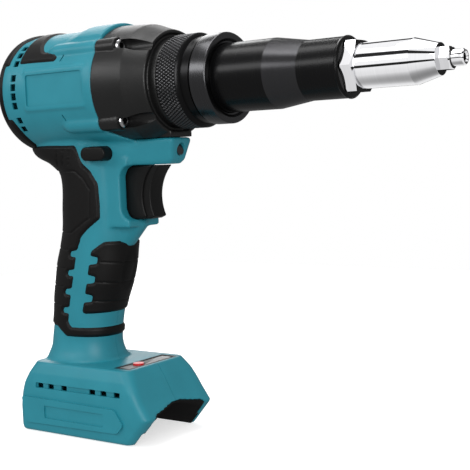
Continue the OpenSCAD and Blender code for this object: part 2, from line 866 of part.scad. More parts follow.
module gear_case() {
    neck_r = ring_d / 2 - neck_in;
    lip_r = case_front_d / 2 - case_lip;
    color("dimgray") difference() {
        union() {
            on_axis() rotate_extrude() polygon(concat([[0, x_case]],
                [for (i = [0 : len(case_edge_shares) - 1]) case_point(i)],
                [[lip_r, x_neck], [lip_r, x_neck - case_lip], [neck_r, x_neck - case_lip], [neck_r, x_ring],
                 [spigot_r, x_ring], [spigot_r, x_spigot], [0, x_spigot]]));
            bar(x_case - spigot_l, x_case + cut, head_r - wall - fit);
            at_case_screws() translate([0, 0, x_case]) cylinder(h = boss_l, r = boss_r);
            translate([x_case + saddle_l, -jaw_w / 2, jaw_top])
                cube([x_ring - case_foot_in - x_case - saddle_l, jaw_w, case_foot_t]);
        }
        difference() {
            side_view(2 * case_d) under_case_view(fit);
            bar(x_case - spigot_l, x_neck, ring_gear_r + ring_wall - fit);
        }
        at_case_screws() {
            translate([0, 0, x_case - spigot_l - cut]) cylinder(h = spigot_l + cut, r = boss_r + gap);
            translate([0, 0, x_case - cut]) cylinder(h = boss_l + 2 * cut, r = case_screw_r + fit);
        }
        screw_notches();
        bar(x_case - spigot_l - cut, nut_x, ring_gear_r + run);
        bar(nut_x - cut, nut_bearing_x + nut_bearing_l, nut_bearing_r + run);
        bar(nut_x, x_spigot + cut, spigot_bore_r);
    }
}

// Knurled lock ring that draws the barrel's flange onto the gear case, with a plain grooved front
knurl_depth = 0.8;
knurl_in = 1;
knurl_count = 36;
ring_groove = 2.4;
groove_r = ring_d / 2 - ring_groove;

module lock_ring() {
    color("black") difference() {
        union() {
            bar(x_ring, x_groove, ring_d / 2 - knurl_depth);
            bar(x_groove - cut, x_collar, groove_r);
            for (i = [0 : knurl_count - 1])
                translate([x_ring, 0, axis_h]) rotate([360 * i / knurl_count, 0, 0])
                    translate([knurl_in, -knurl_depth, ring_d / 2 - 3 * knurl_depth])
                        cube([ring_l - 2 * knurl_in, 2 * knurl_depth, 3 * knurl_depth]);
        }
        bar(x_ring - cut, x_groove - ring_lip, spigot_r + run);
        bar(x_ring, x_collar + cut, barrel_d / 2 + fit);
    }
}

collar_chamfer = 1.6;
collar_dish = 1.5;
collar_lip = 2.2;

module collar() {
    r = collar_d / 2;
    color("black") on_axis() rotate_extrude() polygon([
        [barrel_d / 2 + run, x_collar], [r - collar_chamfer, x_collar], [r, x_collar + collar_chamfer],
        [r, x_barrel - 2 * collar_chamfer], [r - collar_chamfer, x_barrel],
        [r - collar_chamfer - collar_lip, x_barrel],
        [r - 2 * collar_chamfer - collar_lip, x_barrel - collar_dish],
        [barrel_d / 2 + run, x_barrel - collar_dish]]);
}

// Barrel: shares of its length for the end of the straight part and of the taper
barrel_straight_share = 0.42;
barrel_taper_share = 0.68;
barrel_flare = 0.5;
barrel_bore_r = 10.6;
bush_l = 10;
nut_reach = 9.5;
x_nut_front = x_groove + nut_reach;
bush_gap = 4;
x_bush = x_nut_front + bush_gap;
sleeve_thread_r = 11.9;
sleeve_thread_l = 7;

module barrel() {
    r = barrel_d / 2;
    r_front = barrel_front_d / 2;
    color("black") on_axis() rotate_extrude() polygon([
        [spigot_bore_r, x_spigot], [spigot_r - run, x_spigot], [spigot_r - run, x_spigot + flange_t],
        [r, x_spigot + flange_t],
        [r, x_barrel + barrel_straight_share * barrel_l], [r_front, x_barrel + barrel_taper_share * barrel_l],
        [r_front, x_nut - 4 * barrel_flare], [r_front + barrel_flare, x_nut - 2 * barrel_flare],
        [r_front - barrel_flare, x_nut], [sleeve_thread_r + run, x_nut],
        [sleeve_thread_r + run, x_nut - sleeve_thread_l], [barrel_bore_r, x_nut - sleeve_thread_l],
        [barrel_bore_r, x_bush + bush_l], [spigot_bore_r, x_bush + bush_l]]);
}

module guide_bush() {
    color("goldenrod") difference() {
        bar(x_bush, x_bush + bush_l, spigot_bore_r - run);
        on_axis(x_bush - cut) cylinder(h = bush_l + 2 * cut, r = rod_af / sqrt(3) + fit, $fn = 6);
    }
}

nut_chamfer_share = 0.86;

module jam_nut() {
    hex_r = nut_af / sqrt(3);
    color("silver") difference() {
        intersection() {
            on_axis(x_nut) cylinder(h = nut_l, r = hex_r, $fn = 6);
            on_axis() rotate_extrude() polygon([[0, x_nut], [nut_af / 2, x_nut],
                [hex_r, x_nut + (1 - nut_chamfer_share) * nut_l], [hex_r, x_nut + nut_chamfer_share * nut_l],
                [nut_af / 2, x_sleeve], [0, x_sleeve]]);
        }
        bar(x_nut - cut, x_sleeve + cut, sleeve_thread_r + run);
    }
}

jaw_case_r = 9.2;
sleeve_gap = 0.5;
sleeve_bore_r = jaw_case_r + sleeve_gap;
shank_r = 4.7;
shank_l = 7;
sleeve_front_t = 6;

module nose_sleeve() {
    r = sleeve_d / 2;
    x_wall = x_hex - sleeve_front_t;
    color("silver") on_axis() rotate_extrude() polygon([
        [sleeve_bore_r, x_nut - sleeve_thread_l], [sleeve_thread_r, x_nut - sleeve_thread_l],
        [sleeve_thread_r, x_sleeve], [r, x_sleeve], [r, x_cone], [cone_front_d / 2, x_hex],
        [shank_r + run, x_hex], [shank_r + run, x_wall], [sleeve_bore_r, x_wall]]);
}

hex_chamfer = 1.2;
hex_face_in = 0.4;

module nosepiece() {
    hex_r = hex_af / sqrt(3);
    color("silver") difference() {
        union() {
            intersection() {
                on_axis(x_hex) cylinder(h = hex_l, r = hex_r, $fn = 6);
                on_axis() rotate_extrude() polygon([[0, x_hex], [hex_r, x_hex], [hex_r, x_tip - hex_chamfer],
                    [hex_af / 2 - hex_face_in, x_tip], [0, x_tip]]);
            }
            bar(x_tip - cut, x_end, tip_d / 2);
            bar(x_hex - shank_l, x_hex + cut, shank_r);
        }
        bar(x_hex - shank_l - cut, x_end + cut, mandrel_d / 2);
    }
}

// Pull mechanism

jaw_angle = 9.5;
jaw_count = 3;
jaw_len = 18;
jaw_gap = 0.3;
jaw_wedge_share = 3;
jaw_bite_r = 0.7;
case_front_gap = 2;
jaw_inset = 3;
x_jaws_front = x_hex - sleeve_front_t - case_front_gap - jaw_inset;
x_jaws = x_jaws_front - jaw_len;
jaw_case_mouth_r = 4.4;
jaw_case_l = 46;
case_chamfer = 1;
x_jaw_case = x_hex - sleeve_front_t - case_front_gap - jaw_case_l;
rod_tip_r = 6;
rod_tip_l = 6;
pusher_l = 6;
jaw_play = 1.8;
x_pusher = x_jaws - jaw_gap - pusher_l;

// Radius of the jaw case's cone at a station
function cone_r(x) = jaw_case_mouth_r + (x_hex - sleeve_front_t - case_front_gap - x) * tan(jaw_angle);

module jaw_case() {
    x_front = x_jaw_case + jaw_case_l;
    x_cone_end = x_jaws - jaw_play - jaw_gap;
    color("dimgray") on_axis() rotate_extrude() polygon([
        [rod_tip_r + run, x_jaw_case], [jaw_case_r, x_jaw_case], [jaw_case_r, x_front - case_chamfer],
        [jaw_case_r - case_chamfer, x_front],
        [jaw_case_mouth_r, x_front], [cone_r(x_cone_end), x_cone_end], [rod_tip_r + run, x_cone_end]]);
}

module jaw(index) {
    spread = 360 / jaw_count;
    reach = jaw_wedge_share * jaw_case_r;
    color("darkgray") translate([0, 0, axis_h]) rotate([spread * index, 0, 0]) translate([0, 0, -axis_h])
    intersection() {
        on_axis() rotate_extrude() polygon([[jaw_bite_r, x_jaws], [cone_r(x_jaws) - jaw_gap, x_jaws],
            [cone_r(x_jaws_front) - jaw_gap, x_jaws_front], [jaw_bite_r, x_jaws_front]]);
        translate([x_jaws - cut, 0, axis_h]) rotate([90, 0, 90]) linear_extrude(height = jaw_len + 2 * cut)
            polygon([[0, jaw_gap], [-reach * sin(spread / 2), jaw_gap + reach * cos(spread / 2)],
                     [reach * sin(spread / 2), jaw_gap + reach * cos(spread / 2)]]);
    }
}

module jaw_1() { jaw(0); }
module jaw_2() { jaw(1); }
module jaw_3() { jaw(2); }

module jaw_pusher() {
    color("silver") tube(x_pusher, x_pusher + pusher_l, rod_tip_r - 2 * jaw_gap, mandrel_d / 2);
}

// Spring between the pull rod and the pusher
spring_wire = 1.1;
spring_turns = 4;
spring_rings = 8;
spring_sides = 6;
spring_r = rod_tip_r - 3 * jaw_gap - spring_wire / 2;
x_spring = x_jaw_case + rod_tip_l + spring_wire / 2 + jaw_gap;
spring_l = x_pusher - x_spring - spring_wire / 2 - jaw_gap;

module jaw_spring() {
    steps = spring_turns * spring_rings;
    points = [for (i = [0 : steps], j = [0 : spring_sides - 1])
        let(t = 360 * i / spring_rings, s = 360 * j / spring_sides, r = spring_r + spring_wire / 2 * cos(s))
        [x_spring + spring_l * i / steps + spring_wire / 2 * sin(s), r * cos(t), axis_h + r * sin(t)]];
    walls = [for (i = [0 : steps - 1], j = [0 : spring_sides - 1])
        let(k = (j + 1) % spring_sides, a = i * spring_sides, b = a + spring_sides)
        each [[a + j, a + k, b + k], [a + j, b + k, b + j]]];
    ends = [for (j = [1 : spring_sides - 2]) let(b = steps * spring_sides)
        each [[0, j + 1, j], [b, b + j, b + j + 1]]];
    color("silver") polyhedron(points = points, faces = concat(walls, ends));
}

// Rod: a screw at the rear, a hexagon that keeps it from turning and a round front
screw_end_gap = 2;
x_screw = nut_bearing_x + stroke + screw_end_gap;
screw_r_out = screw_d / 2;
rod_margin = 1;
x_screw_end = x_bush - rod_margin;
x_rod_hex_end = x_bush + bush_l + stroke + rod_margin;
rod_r = 5.6;

module pull_rod() {
    color("silver") union() {
        bar(x_screw, x_screw_end, screw_r_out);
        on_axis(x_screw_end) cylinder(h = x_rod_hex_end - x_screw_end, r = rod_af / sqrt(3), $fn = 6);
        bar(x_rod_hex_end, x_jaw_case, rod_r);
        bar(x_jaw_case, x_jaw_case + rod_tip_l, rod_tip_r);
    }
}

module ball_nut() {
    color("slategray") difference() {
        union() {
            bar(nut_x, nut_bearing_x, nut_flange_r);
            bar(nut_x, x_nut_front, ball_nut_r);
        }
        bar(nut_bearing_x, x_nut_front + cut, screw_r_out + fit);
    }
}

module nut_bearing() {
    color("gainsboro") tube(nut_bearing_x, nut_bearing_x + nut_bearing_l, nut_bearing_r, ball_nut_r + run);
}

// Planetary gears

tooth_tip_share = 0.2;
tooth_root_share = 0.56;
addendum_share = 0.8;
dedendum_share = 1.15;

// Outline of a spur gear: its teeth point out, or in when way is -1
function gear_points(teeth_n, way) = [for (i = [0 : teeth_n - 1])
    let(pitch = 360 / teeth_n, r = gear_module * teeth_n / 2, r_tip = r + way * addendum_share * gear_module,
        r_root = r - way * dedendum_share * gear_module)
    for (p = [[-tooth_root_share / 2, r_root], [-tooth_tip_share / 2, r_tip], [tooth_tip_share / 2, r_tip],
              [tooth_root_share / 2, r_root]])
        [p[1] * cos((i + p[0]) * pitch), p[1] * sin((i + p[0]) * pitch)]];

orbit_r = gear_module * (sun_teeth + planet_teeth) / 2;
pin_r = 3;
shoulder_r = 4.5;

// Puts a planet's shape at its place on the carrier
module at_planet(index) {
    on_axis() rotate([0, 0, 360 * index / 3]) translate([orbit_r, 0, 0]) children();
}

module sun_pinion() {
    color("darkgray") on_axis(gears_x) linear_extrude(height = gear_w) polygon(gear_points(sun_teeth, 1));
}

module planet(index) {
    color("darkgray") at_planet(index) translate([0, 0, gears_x]) difference() {
        linear_extrude(height = gear_w) rotate(180 / planet_teeth) polygon(gear_points(planet_teeth, 1));
        translate([0, 0, -cut]) cylinder(h = gear_w + 2 * cut, r = pin_r + run);
    }
}

module planet_1() { planet(0); }
module planet_2() { planet(1); }
module planet_3() { planet(2); }

module ring_gear() {
    color("gray") on_axis(gears_x) difference() {
        cylinder(h = gear_w, r = ring_gear_r);
        translate([0, 0, -cut]) linear_extrude(height = gear_w + 2 * cut)
            polygon(gear_points(ring_gear_teeth, -1));
    }
}

module carrier() {
    color("gray") union() {
        bar(carrier_x, nut_x, nut_flange_r);
        for (i = [0 : 2])
            at_planet(i) {
                translate([0, 0, gears_x]) cylinder(h = carrier_x - gears_x + cut, r = pin_r);
                translate([0, 0, gears_x + gear_w + gap])
                    cylinder(h = carrier_x - gears_x - gear_w, r = shoulder_r);
            }
    }
}

// Motor

module rotor_shaft() {
    color("silver") bar(rear_bearing_x + run, gears_x, shaft_d / 2);
}

module rotor() {
    color("dimgray") tube(stator_x, stator_x + stator_l, rotor_d / 2, shaft_d / 2);
}

slot_count = 6;
air_gap = 0.7;
stator_bore_r = rotor_d / 2 + air_gap;
slot_w = 8.6;
slot_depth_share = 0.55;

module stator() {
    color("peru") difference() {
        tube(stator_x, stator_x + stator_l, stator_d / 2, stator_bore_r);
        for (i = [0 : slot_count - 1])
            translate([stator_x - cut, 0, axis_h]) rotate([360 * (i + 0.5) / slot_count, 0, 0])
                translate([0, -slot_w / 2, stator_bore_r + rib])
                    cube([stator_l + 2 * cut, slot_w, slot_depth_share * (stator_d / 2 - stator_bore_r)]);
    }
}

fan_blades = 11;
fan_r = stator_d / 2 - rib;
fan_disc_t = 2;

module fan() {
    color("black") union() {
        tube(fan_x + fan_l - fan_disc_t, fan_x + fan_l, fan_r, shaft_d / 2);
        tube(fan_x, fan_x + fan_l, shaft_d, shaft_d / 2);
        for (i = [0 : fan_blades - 1])
            translate([fan_x + fan_disc_t, 0, axis_h]) rotate([360 * i / fan_blades, 0, 0])
                translate([0, -fan_disc_t / 2, shaft_d - fan_disc_t])
                    cube([fan_l - fan_disc_t - cut, fan_disc_t, fan_r - shaft_d]);
    }
}

module rear_bearing() {
    color("gainsboro") tube(rear_bearing_x, rear_bearing_x + bearing_l, bearing_d / 2, shaft_d / 2 + run);
}

module front_bearing() {
    color("gainsboro") tube(plate_x, plate_x + bearing_l, bearing_d / 2, shaft_d / 2 + run);
}

// Plate between the motor and the gears, which carries the front bearing
module motor_plate() {
    color("lightgray") difference() {
        bar(plate_x, plate_x + plate_l, head_r - wall - fit);
        bar(plate_x - cut, plate_x + bearing_l, bearing_d / 2 + run);
        bar(plate_x - cut, plate_x + plate_l + cut, shaft_d / 2 + gap);
        at_case_screws() translate([0, 0, plate_x - cut]) cylinder(h = plate_l + 2 * cut, r = boss_r + gap);
    }
}

// Controls

dish_r = 26.6;
dish_drop_share = 0.6;
dish_depth = 8;
trigger_reach = 30.6;
toe_l = 24.6;
plunger_r = 3;
plunger_l = 8;
x_trigger = switch_x + switch_l + trigger_travel + gap;
trigger_round = 3;

module trigger() {
    x_front = x_trigger + trigger_reach;
    z_dish = trigger_z + (1 - dish_drop_share) * trigger_h;
    z_toe = trigger_z + trigger_round;
    color("dimgray") union() {
        side_view(trigger_w) difference() {
            union() {
                translate([x_trigger, z_toe]) square([trigger_reach, trigger_h - trigger_round]);
                translate([x_trigger + trigger_round, trigger_z])
                    square([toe_l - 2 * trigger_round, trigger_round + cut]);
                translate([x_trigger + trigger_round, z_toe]) circle(r = trigger_round);
                translate([x_trigger + toe_l - trigger_round, z_toe]) circle(r = trigger_round);
            }
            translate([x_front + dish_r - dish_depth, z_dish]) circle(r = dish_r);
        }
        translate([x_trigger - trigger_travel - gap - plunger_l, 0, switch_z + switch_h / 2])
            rotate([0, 90, 0]) cylinder(h = plunger_l + trigger_travel + gap + cut, r = plunger_r);
    }
}

module switch_body() {
    color("black") difference() {
        translate([switch_x, -switch_w / 2, switch_z]) cube([switch_l, switch_w, switch_h]);
        translate([switch_x + switch_l - plunger_l - trigger_travel - gap, 0, switch_z + switch_h / 2])
            rotate([0, 90, 0]) cylinder(h = switch_l, r = plunger_r + run);
    }
}

direction_stub = 1.5;
direction_proud = direction_travel + direction_stub;

module direction_button() {
    color("dimgray") intersection() {
        direction_shape(0);
        translate([x_rear, -handle_w / 2 - direction_proud, 0])
            cube([tool_l, handle_w + 2 * direction_proud, axis_h]);
    }
}

lamp_sink = 0.5;

module led_lens() {
    color("white") at_lamp() translate([0, 0, -lamp_l]) cylinder(h = lamp_l - lamp_sink, r = lamp_r);
}

module display_panel() {
    color("black") difference() {
        translate([x_panel - panel_d / 2, -panel_w / 2, base_h - panel_t]) cube([panel_d, panel_w, panel_t]);
        translate([x_panel, mode_y, base_h - 2 * panel_t]) cylinder(h = 4 * panel_t, r = mode_d / 2 + run);
    }
}

mode_proud = 0.8;

module mode_button() {
    color("red") translate([x_panel, mode_y, base_h - 2 * panel_t]) union() {
        cylinder(h = 2 * panel_t + mode_proud, r = mode_d / 2);
        cylinder(h = panel_t, r = mode_d / 2 + fit);
    }
}

module control_board() {
    color("darkgreen") translate([board_x, -board_w / 2, board_z]) cube([board_l, board_w, board_t]);
}

// Terminal block at the closed end of the dock
blade_t = 0.8;
blade_l = 11;
blade_h = 7;
blade_z = block_z + (block_h - blade_h) / 2;
blade_shares = [-0.36, -0.12, 0.12, 0.36];

module terminal_block() {
    color("black") difference() {
        translate([block_x, -block_w / 2, block_z]) cube([block_l, block_w, block_h - fit]);
        for (share = blade_shares)
            translate([block_x + block_l / 2, share * block_w - blade_t / 2 - run, blade_z - run])
                cube([block_l, blade_t + 2 * run, blade_h + 2 * run]);
    }
}

module terminal_blades() {
    color("gold") for (share = blade_shares)
        translate([block_x + block_l / 2, share * block_w - blade_t / 2, blade_z])
            cube([block_l / 2 + blade_l, blade_t, blade_h]);
}

left_housing();
right_housing();
left_rear_grip();
right_rear_grip();
left_front_grip();
right_front_grip();
rear_bumper();
left_head_pad();
right_head_pad();
gear_case();
case_screws();
housing_screws();
lock_ring();
collar();
barrel();
jam_nut();
nose_sleeve();
nosepiece();
jaw_case();
jaw_1();
jaw_2();
jaw_3();
jaw_pusher();
jaw_spring();
pull_rod();
guide_bush();
ball_nut();
nut_bearing();
carrier();
planet_1();
planet_2();
planet_3();
ring_gear();
sun_pinion();
rotor();
rotor_shaft();
fan();
stator();
motor_plate();
front_bearing();
rear_bearing();
trigger();
switch_body();
direction_button();
led_lens();
display_panel();
mode_button();
control_board();
terminal_block();
terminal_blades();
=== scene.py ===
# %% [markdown]
# # A cordless rivet tool
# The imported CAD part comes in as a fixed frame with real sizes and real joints. Every piece below is made
# where the CAD has it, takes the place of its CAD node and rides on the same body. So the looks get finer,
# and the trigger still slides and the rod still pulls.

# %% Load the frame
import json
import math

import bmesh
import bpy
from mathutils import Matrix, Vector

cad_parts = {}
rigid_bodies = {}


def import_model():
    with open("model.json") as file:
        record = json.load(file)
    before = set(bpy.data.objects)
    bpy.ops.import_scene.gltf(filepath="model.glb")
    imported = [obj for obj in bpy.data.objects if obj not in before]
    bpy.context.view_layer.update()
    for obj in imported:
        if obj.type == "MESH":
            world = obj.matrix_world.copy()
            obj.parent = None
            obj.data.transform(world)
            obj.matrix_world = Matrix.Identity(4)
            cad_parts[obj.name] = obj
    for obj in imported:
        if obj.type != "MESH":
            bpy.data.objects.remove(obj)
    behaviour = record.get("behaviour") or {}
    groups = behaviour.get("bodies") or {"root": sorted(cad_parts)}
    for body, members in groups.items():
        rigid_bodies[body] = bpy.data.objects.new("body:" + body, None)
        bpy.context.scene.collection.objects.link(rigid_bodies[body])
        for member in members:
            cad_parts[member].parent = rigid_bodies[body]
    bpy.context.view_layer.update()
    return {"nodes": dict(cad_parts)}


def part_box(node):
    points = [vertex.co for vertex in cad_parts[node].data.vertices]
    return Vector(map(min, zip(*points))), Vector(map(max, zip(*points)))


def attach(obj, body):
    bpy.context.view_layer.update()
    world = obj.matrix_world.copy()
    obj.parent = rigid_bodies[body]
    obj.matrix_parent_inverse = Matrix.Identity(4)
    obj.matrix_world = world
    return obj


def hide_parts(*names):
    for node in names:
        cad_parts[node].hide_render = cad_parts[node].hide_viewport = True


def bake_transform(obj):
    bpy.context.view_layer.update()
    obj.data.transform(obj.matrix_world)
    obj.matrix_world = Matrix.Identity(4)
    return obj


for leftover in list(bpy.data.objects):
    bpy.data.objects.remove(leftover)
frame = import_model()

# %% [markdown]
# ## Sizes
# Blender works in metres, but a hand tool is easier to think about in millimetres. The lesson draws in
# millimetres and scales each mesh once at the end. Stations along the barrel are read off the CAD nodes,
# so a change in the CAD moves the looks too.

# %% Stations and radii, in millimetres
MM = 0.001


def span(node, axis):
    """Lowest and highest place of a CAD node along an axis, in millimetres."""
    low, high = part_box(node)
    return low[axis] / MM, high[axis] / MM


AXIS = sum(span("barrel", 2)) / 2
SPIGOT_L = 4.0
X_REAR, X_LIP = span("left_housing", 0)
X_CASE = span("gear_case", 0)[0] + SPIGOT_L
X_RING, X_COLLAR = span("lock_ring", 0)
X_BARREL = span("collar", 0)[1]
X_NUT, X_SLEEVE = span("jam_nut", 0)
X_HEX = span("nose_sleeve", 0)[1]
X_END = span("nosepiece", 0)[1]
HEAD_R, CASE_R = 37.3, 37.5
WALL, SEAM = 2.8, 0.2
# Places that lie past the whole tool, where a cutter can end
OUT_Y, FAR_X, FAR_Y, FAR_Z = 40.0, 200.0, 60.0, 300.0
print(f"axis at {AXIS:.1f} mm, barrel from {X_BARREL:.1f} to {X_NUT:.1f} mm")

# %% [markdown]
# ## Camera
# The camera was worked out from the photograph: the vanishing of the barrel, the ellipses of its rings and
# the upright edges of the base give the place, the turn and the lens. A camera looks along its own -Z, so
# the matrix below has the right, up and backward directions as columns.

# %% Camera
CAMERA_AT = Vector((0.358337, -0.497594, 0.175024))
AZIMUTH, PITCH, ROLL = map(math.radians, (35.145, 4.507, 2.243))
SENSOR = 36.0
PHOTO_PIXELS, FOCAL_PIXELS = 470, 1034.193

scene = bpy.context.scene
back = Vector((math.sin(AZIMUTH) * math.cos(PITCH), -math.cos(AZIMUTH) * math.cos(PITCH), math.sin(PITCH)))
level = (-back).cross(Vector((0, 0, 1))).normalized()
fall = (-back).cross(level)
right = math.cos(ROLL) * level + math.sin(ROLL) * fall
up = math.sin(ROLL) * level - math.cos(ROLL) * fall
camera = bpy.data.objects.new("camera", bpy.data.cameras.new("camera"))
camera.data.sensor_width = SENSOR
camera.data.lens = SENSOR * FOCAL_PIXELS / PHOTO_PIXELS
camera.data.clip_start = 0.01
camera.matrix_world = Matrix.Translation(CAMERA_AT) @ Matrix((right, up, back)).transposed().to_4x4()
scene.collection.objects.link(camera)
scene.camera = camera
print(f"lens {camera.data.lens:.1f} mm")

# %% [markdown]
# ## World
# The photograph shows the tool before plain white under soft studio light. The world has three jobs, told
# apart by the kind of ray. The camera sees plain white. Mirrors see bright bands with dark ones between
# them, as in a studio with soft boxes, and a black card behind the nose. All else gets a dim even light,
# dimmer still in a satin sheen, so that black stays black. Two small helpers shorten the node work.

# %% World
scene.view_settings.view_transform = "Standard"
WORLD_LIGHT, WORLD_SHEEN = 0.72, 0.22
WHITE, CARD_BLACK = (1, 1, 1, 1), (0.02, 0.02, 0.02, 1)
# Height of a direction from -1 straight down to 1 straight up, and how bright a mirror finds it
BANDS = [(-1.0, 0.3), (-0.9, 0.45), (-0.7, 0.95), (-0.25, 1.1), (-0.23, 1.1), (-0.22, 0.02), (-0.04, 0.02),
         (-0.03, 1.2), (0.54, 1.2), (0.55, 0.03), (0.74, 0.03), (0.75, 1.2)]
# Direction of the black card, and how wide it looks as a cosine
CARD_WAY, CARD_EDGE = Vector((0.57, 0.82, 0.0)), 0.86


def add(tree, kind, **values):
    """Adds a shader node, and sets its inputs or settings. An underscore stands for a space in an input."""
    node = tree.nodes.new("ShaderNode" + kind)
    for key, value in values.items():
        if key.replace("_", " ") in node.inputs:
            node.inputs[key.replace("_", " ")].default_value = value
        else:
            setattr(node, key, value)
    return node


def mixed(tree, factor, *colours):
    """Mixes two colours by a factor. Each one is a socket or a plain colour."""
    mix = add(tree, "Mix", data_type="RGBA")
    factor_input, colour_inputs, colour_output = mix.inputs[0], mix.inputs[6:8], mix.outputs[2]
    tree.links.new(factor, factor_input)
    for socket, colour in zip(colour_inputs, colours):
        if isinstance(colour, bpy.types.NodeSocket):
            tree.links.new(colour, socket)
        else:
            socket.default_value = colour
    return colour_output


def studio_world():
    world = bpy.data.worlds.new("studio")
    world.use_nodes = True
    tree = world.node_tree
    links = tree.links.new
    rays = add(tree, "LightPath").outputs
    way = add(tree, "TexCoord").outputs["Generated"]
    parts = add(tree, "SeparateXYZ")
    height = add(tree, "MapRange", From_Min=-1.0)
    bands = add(tree, "ValToRGB")
    links(way, parts.inputs[0])
    links(parts.outputs["Z"], height.inputs["Value"])
    links(height.outputs["Result"], bands.inputs["Fac"])
    ramp = bands.color_ramp.elements
    ramp.remove(ramp[1])
    for level_at, bright in BANDS:
        stop = ramp.new((level_at + 1) / 2) if level_at > -1 else ramp[0]
        stop.color = (bright, bright, bright, 1)
    toward = add(tree, "VectorMath", operation="DOT_PRODUCT")
    toward.inputs[1].default_value = CARD_WAY.normalized()
    on_card = add(tree, "Math", operation="GREATER_THAN")
    on_card.inputs[1].default_value = CARD_EDGE
    links(way, toward.inputs[0])
    links(toward.outputs["Value"], on_card.inputs[0])
    dim = add(tree, "MapRange", To_Min=WORLD_LIGHT, To_Max=WORLD_SHEEN)
    links(rays["Is Glossy Ray"], dim.inputs["Value"])
    studio = mixed(tree, on_card.outputs[0], bands.outputs["Color"], CARD_BLACK)
    lit = mixed(tree, rays["Is Singular Ray"], dim.outputs["Result"], studio)
    seen = mixed(tree, rays["Is Camera Ray"], lit, WHITE)
    links(seen, tree.nodes["Background"].inputs["Color"])
    return world


scene.world = studio_world()
print("world:", scene.world.name)

# %% [markdown]
# ## Lights and floor
# Area lights stand in for the soft boxes. The narrow ones draw the long highlights on the black barrel. A
# small pale floor carries the shadow. It glows a little, so that it melts into the white, and it is hidden
# from all but the camera, so that it throws no light back on the tool.

# %% Lights and floor, in metres
MIDDLE = Vector((0, 0, 0.14))
# Name, place, size and power in watts
SOFT_BOXES = (("key", (0.75, -1.15, 0.55), (0.9, 0.9), 12), ("side", (-0.69, -0.94, 0.72), (1.0, 0.3), 3.5),
              ("top", (-0.1, 0.0, 1.3), (1.2, 0.5), 7), ("strip", (-0.49, -0.26, 1.26), (1.0, 0.2), 2),
              ("rim", (-0.9, 0.8, 0.7), (0.5, 0.9), 4))
for name, at, size, power in SOFT_BOXES:
    lamp = bpy.data.lights.new(name, "AREA")
    lamp.shape = "RECTANGLE"
    lamp.size, lamp.size_y = size
    lamp.energy = power
    light = bpy.data.objects.new(name, lamp)
    light.location = at
    light.rotation_euler = (MIDDLE - Vector(at)).to_track_quat("-Z", "Y").to_euler()
    scene.collection.objects.link(light)

FLOOR_SIZE, FLOOR_DROP, FLOOR_GREY, FLOOR_GLOW = 1.7, 0.0005, (0.6, 0.6, 0.6, 1), 0.62


def into_object(name, bm):
    mesh = bpy.data.meshes.new(name)
    bm.to_mesh(mesh)
    bm.free()
    obj = bpy.data.objects.new(name, mesh)
    scene.collection.objects.link(obj)
    return obj


def studio_floor():
    bm = bmesh.new()
    bmesh.ops.create_grid(bm, x_segments=1, y_segments=1, size=FLOOR_SIZE / 2,
                          matrix=Matrix.Translation((0, 0, -FLOOR_DROP)))
    floor = into_object("floor", bm)
    mat = bpy.data.materials.new("floor")
    mat.use_nodes = True
    surface = mat.node_tree.nodes["Principled BSDF"].inputs
    for key, value in (("Base Color", FLOOR_GREY), ("Roughness", 1.0), ("Specular IOR Level", 0.0),
                       ("Emission Color", WHITE), ("Emission Strength", FLOOR_GLOW)):
        surface[key].default_value = value
    floor.data.materials.append(mat)
    floor.visible_diffuse = floor.visible_glossy = False
    return floor


studio_floor()

# %% [markdown]
# ## Working helpers
# Each helper does one thing that the pieces share: turning a profile round the barrel axis, extruding a
# side view, lofting rows of rings, cutting one object with another, and rounding a joined form by
# remeshing it. They use Blender's own mesh operators, which keep the faces tidy and the normals sound.

# %% From a mesh in millimetres to an object in metres
def soften(obj, crease):
    """Smooth shading, with edges sharper than the crease angle left sharp."""
    obj.data.shade_smooth()
    obj.data.set_sharp_from_angle(angle=math.radians(crease))
    return obj


def make(name, bm, crease=38):
    bmesh.ops.recalc_face_normals(bm, faces=bm.faces[:])
    bmesh.ops.scale(bm, vec=(MM, MM, MM), verts=bm.verts[:])
    return soften(into_object(name, bm), crease)


def bake(obj):
    """Replaces an object's mesh by what its modifiers make of it."""
    graph = bpy.context.evaluated_depsgraph_get()
    old = obj.data
    obj.data = bpy.data.meshes.new_from_object(obj.evaluated_get(graph))
    obj.modifiers.clear()
    bpy.data.meshes.remove(old)
    obj.data.name = obj.name
    return obj


def remesh(obj, voxel, rounds):
    """Joins all the forms in an object into one skin, and rounds it by smoothing."""
    skin = obj.modifiers.new("skin", "REMESH")
    skin.mode = "VOXEL"
    skin.voxel_size = voxel * MM
    smooth = obj.modifiers.new("smooth", "SMOOTH")
    smooth.factor = 0.5
    smooth.iterations = rounds
    return bake(obj)


def combine(obj, others, operation="DIFFERENCE"):
    """Cuts, joins or intersects an object with others, which are used up."""
    for other in others:
        step = obj.modifiers.new("step", "BOOLEAN")
        step.operation = operation
        step.solver = "MANIFOLD"
        step.object = other
        bake(obj)
        bpy.data.objects.remove(other)
    return obj


def gather(name, objects):
    """One object that holds the meshes of several, which are used up."""
    bm = bmesh.new()
    for obj in objects:
        bm.from_mesh(obj.data)
        bpy.data.objects.remove(obj)
    return into_object(name, bm)


def copy_of(obj, name):
    twin = obj.copy()
    twin.data = obj.data.copy()
    twin.name = twin.data.name = name
    scene.collection.objects.link(twin)
    return twin


# %% Basic forms
ROUND_STEPS = 3


def new_verts(result):
    return [item for item in result["geom"] if isinstance(item, bmesh.types.BMVert)]


def edges_of(geometry):
    return [item for item in geometry if isinstance(item, bmesh.types.BMEdge)]


def full_turn(count, shift=0.0):
    return [2 * math.pi * (k + shift) / count for k in range(count)]


def quarter_turn(count):
    return [math.pi / 2 * k / count for k in range(count + 1)]


def round_corners(bm, verts, radius, segments=ROUND_STEPS):
    if radius:
        bmesh.ops.bevel(bm, geom=verts, affect="VERTICES", offset=radius, segments=segments, profile=0.5,
                        material=-1, clamp_overlap=True)


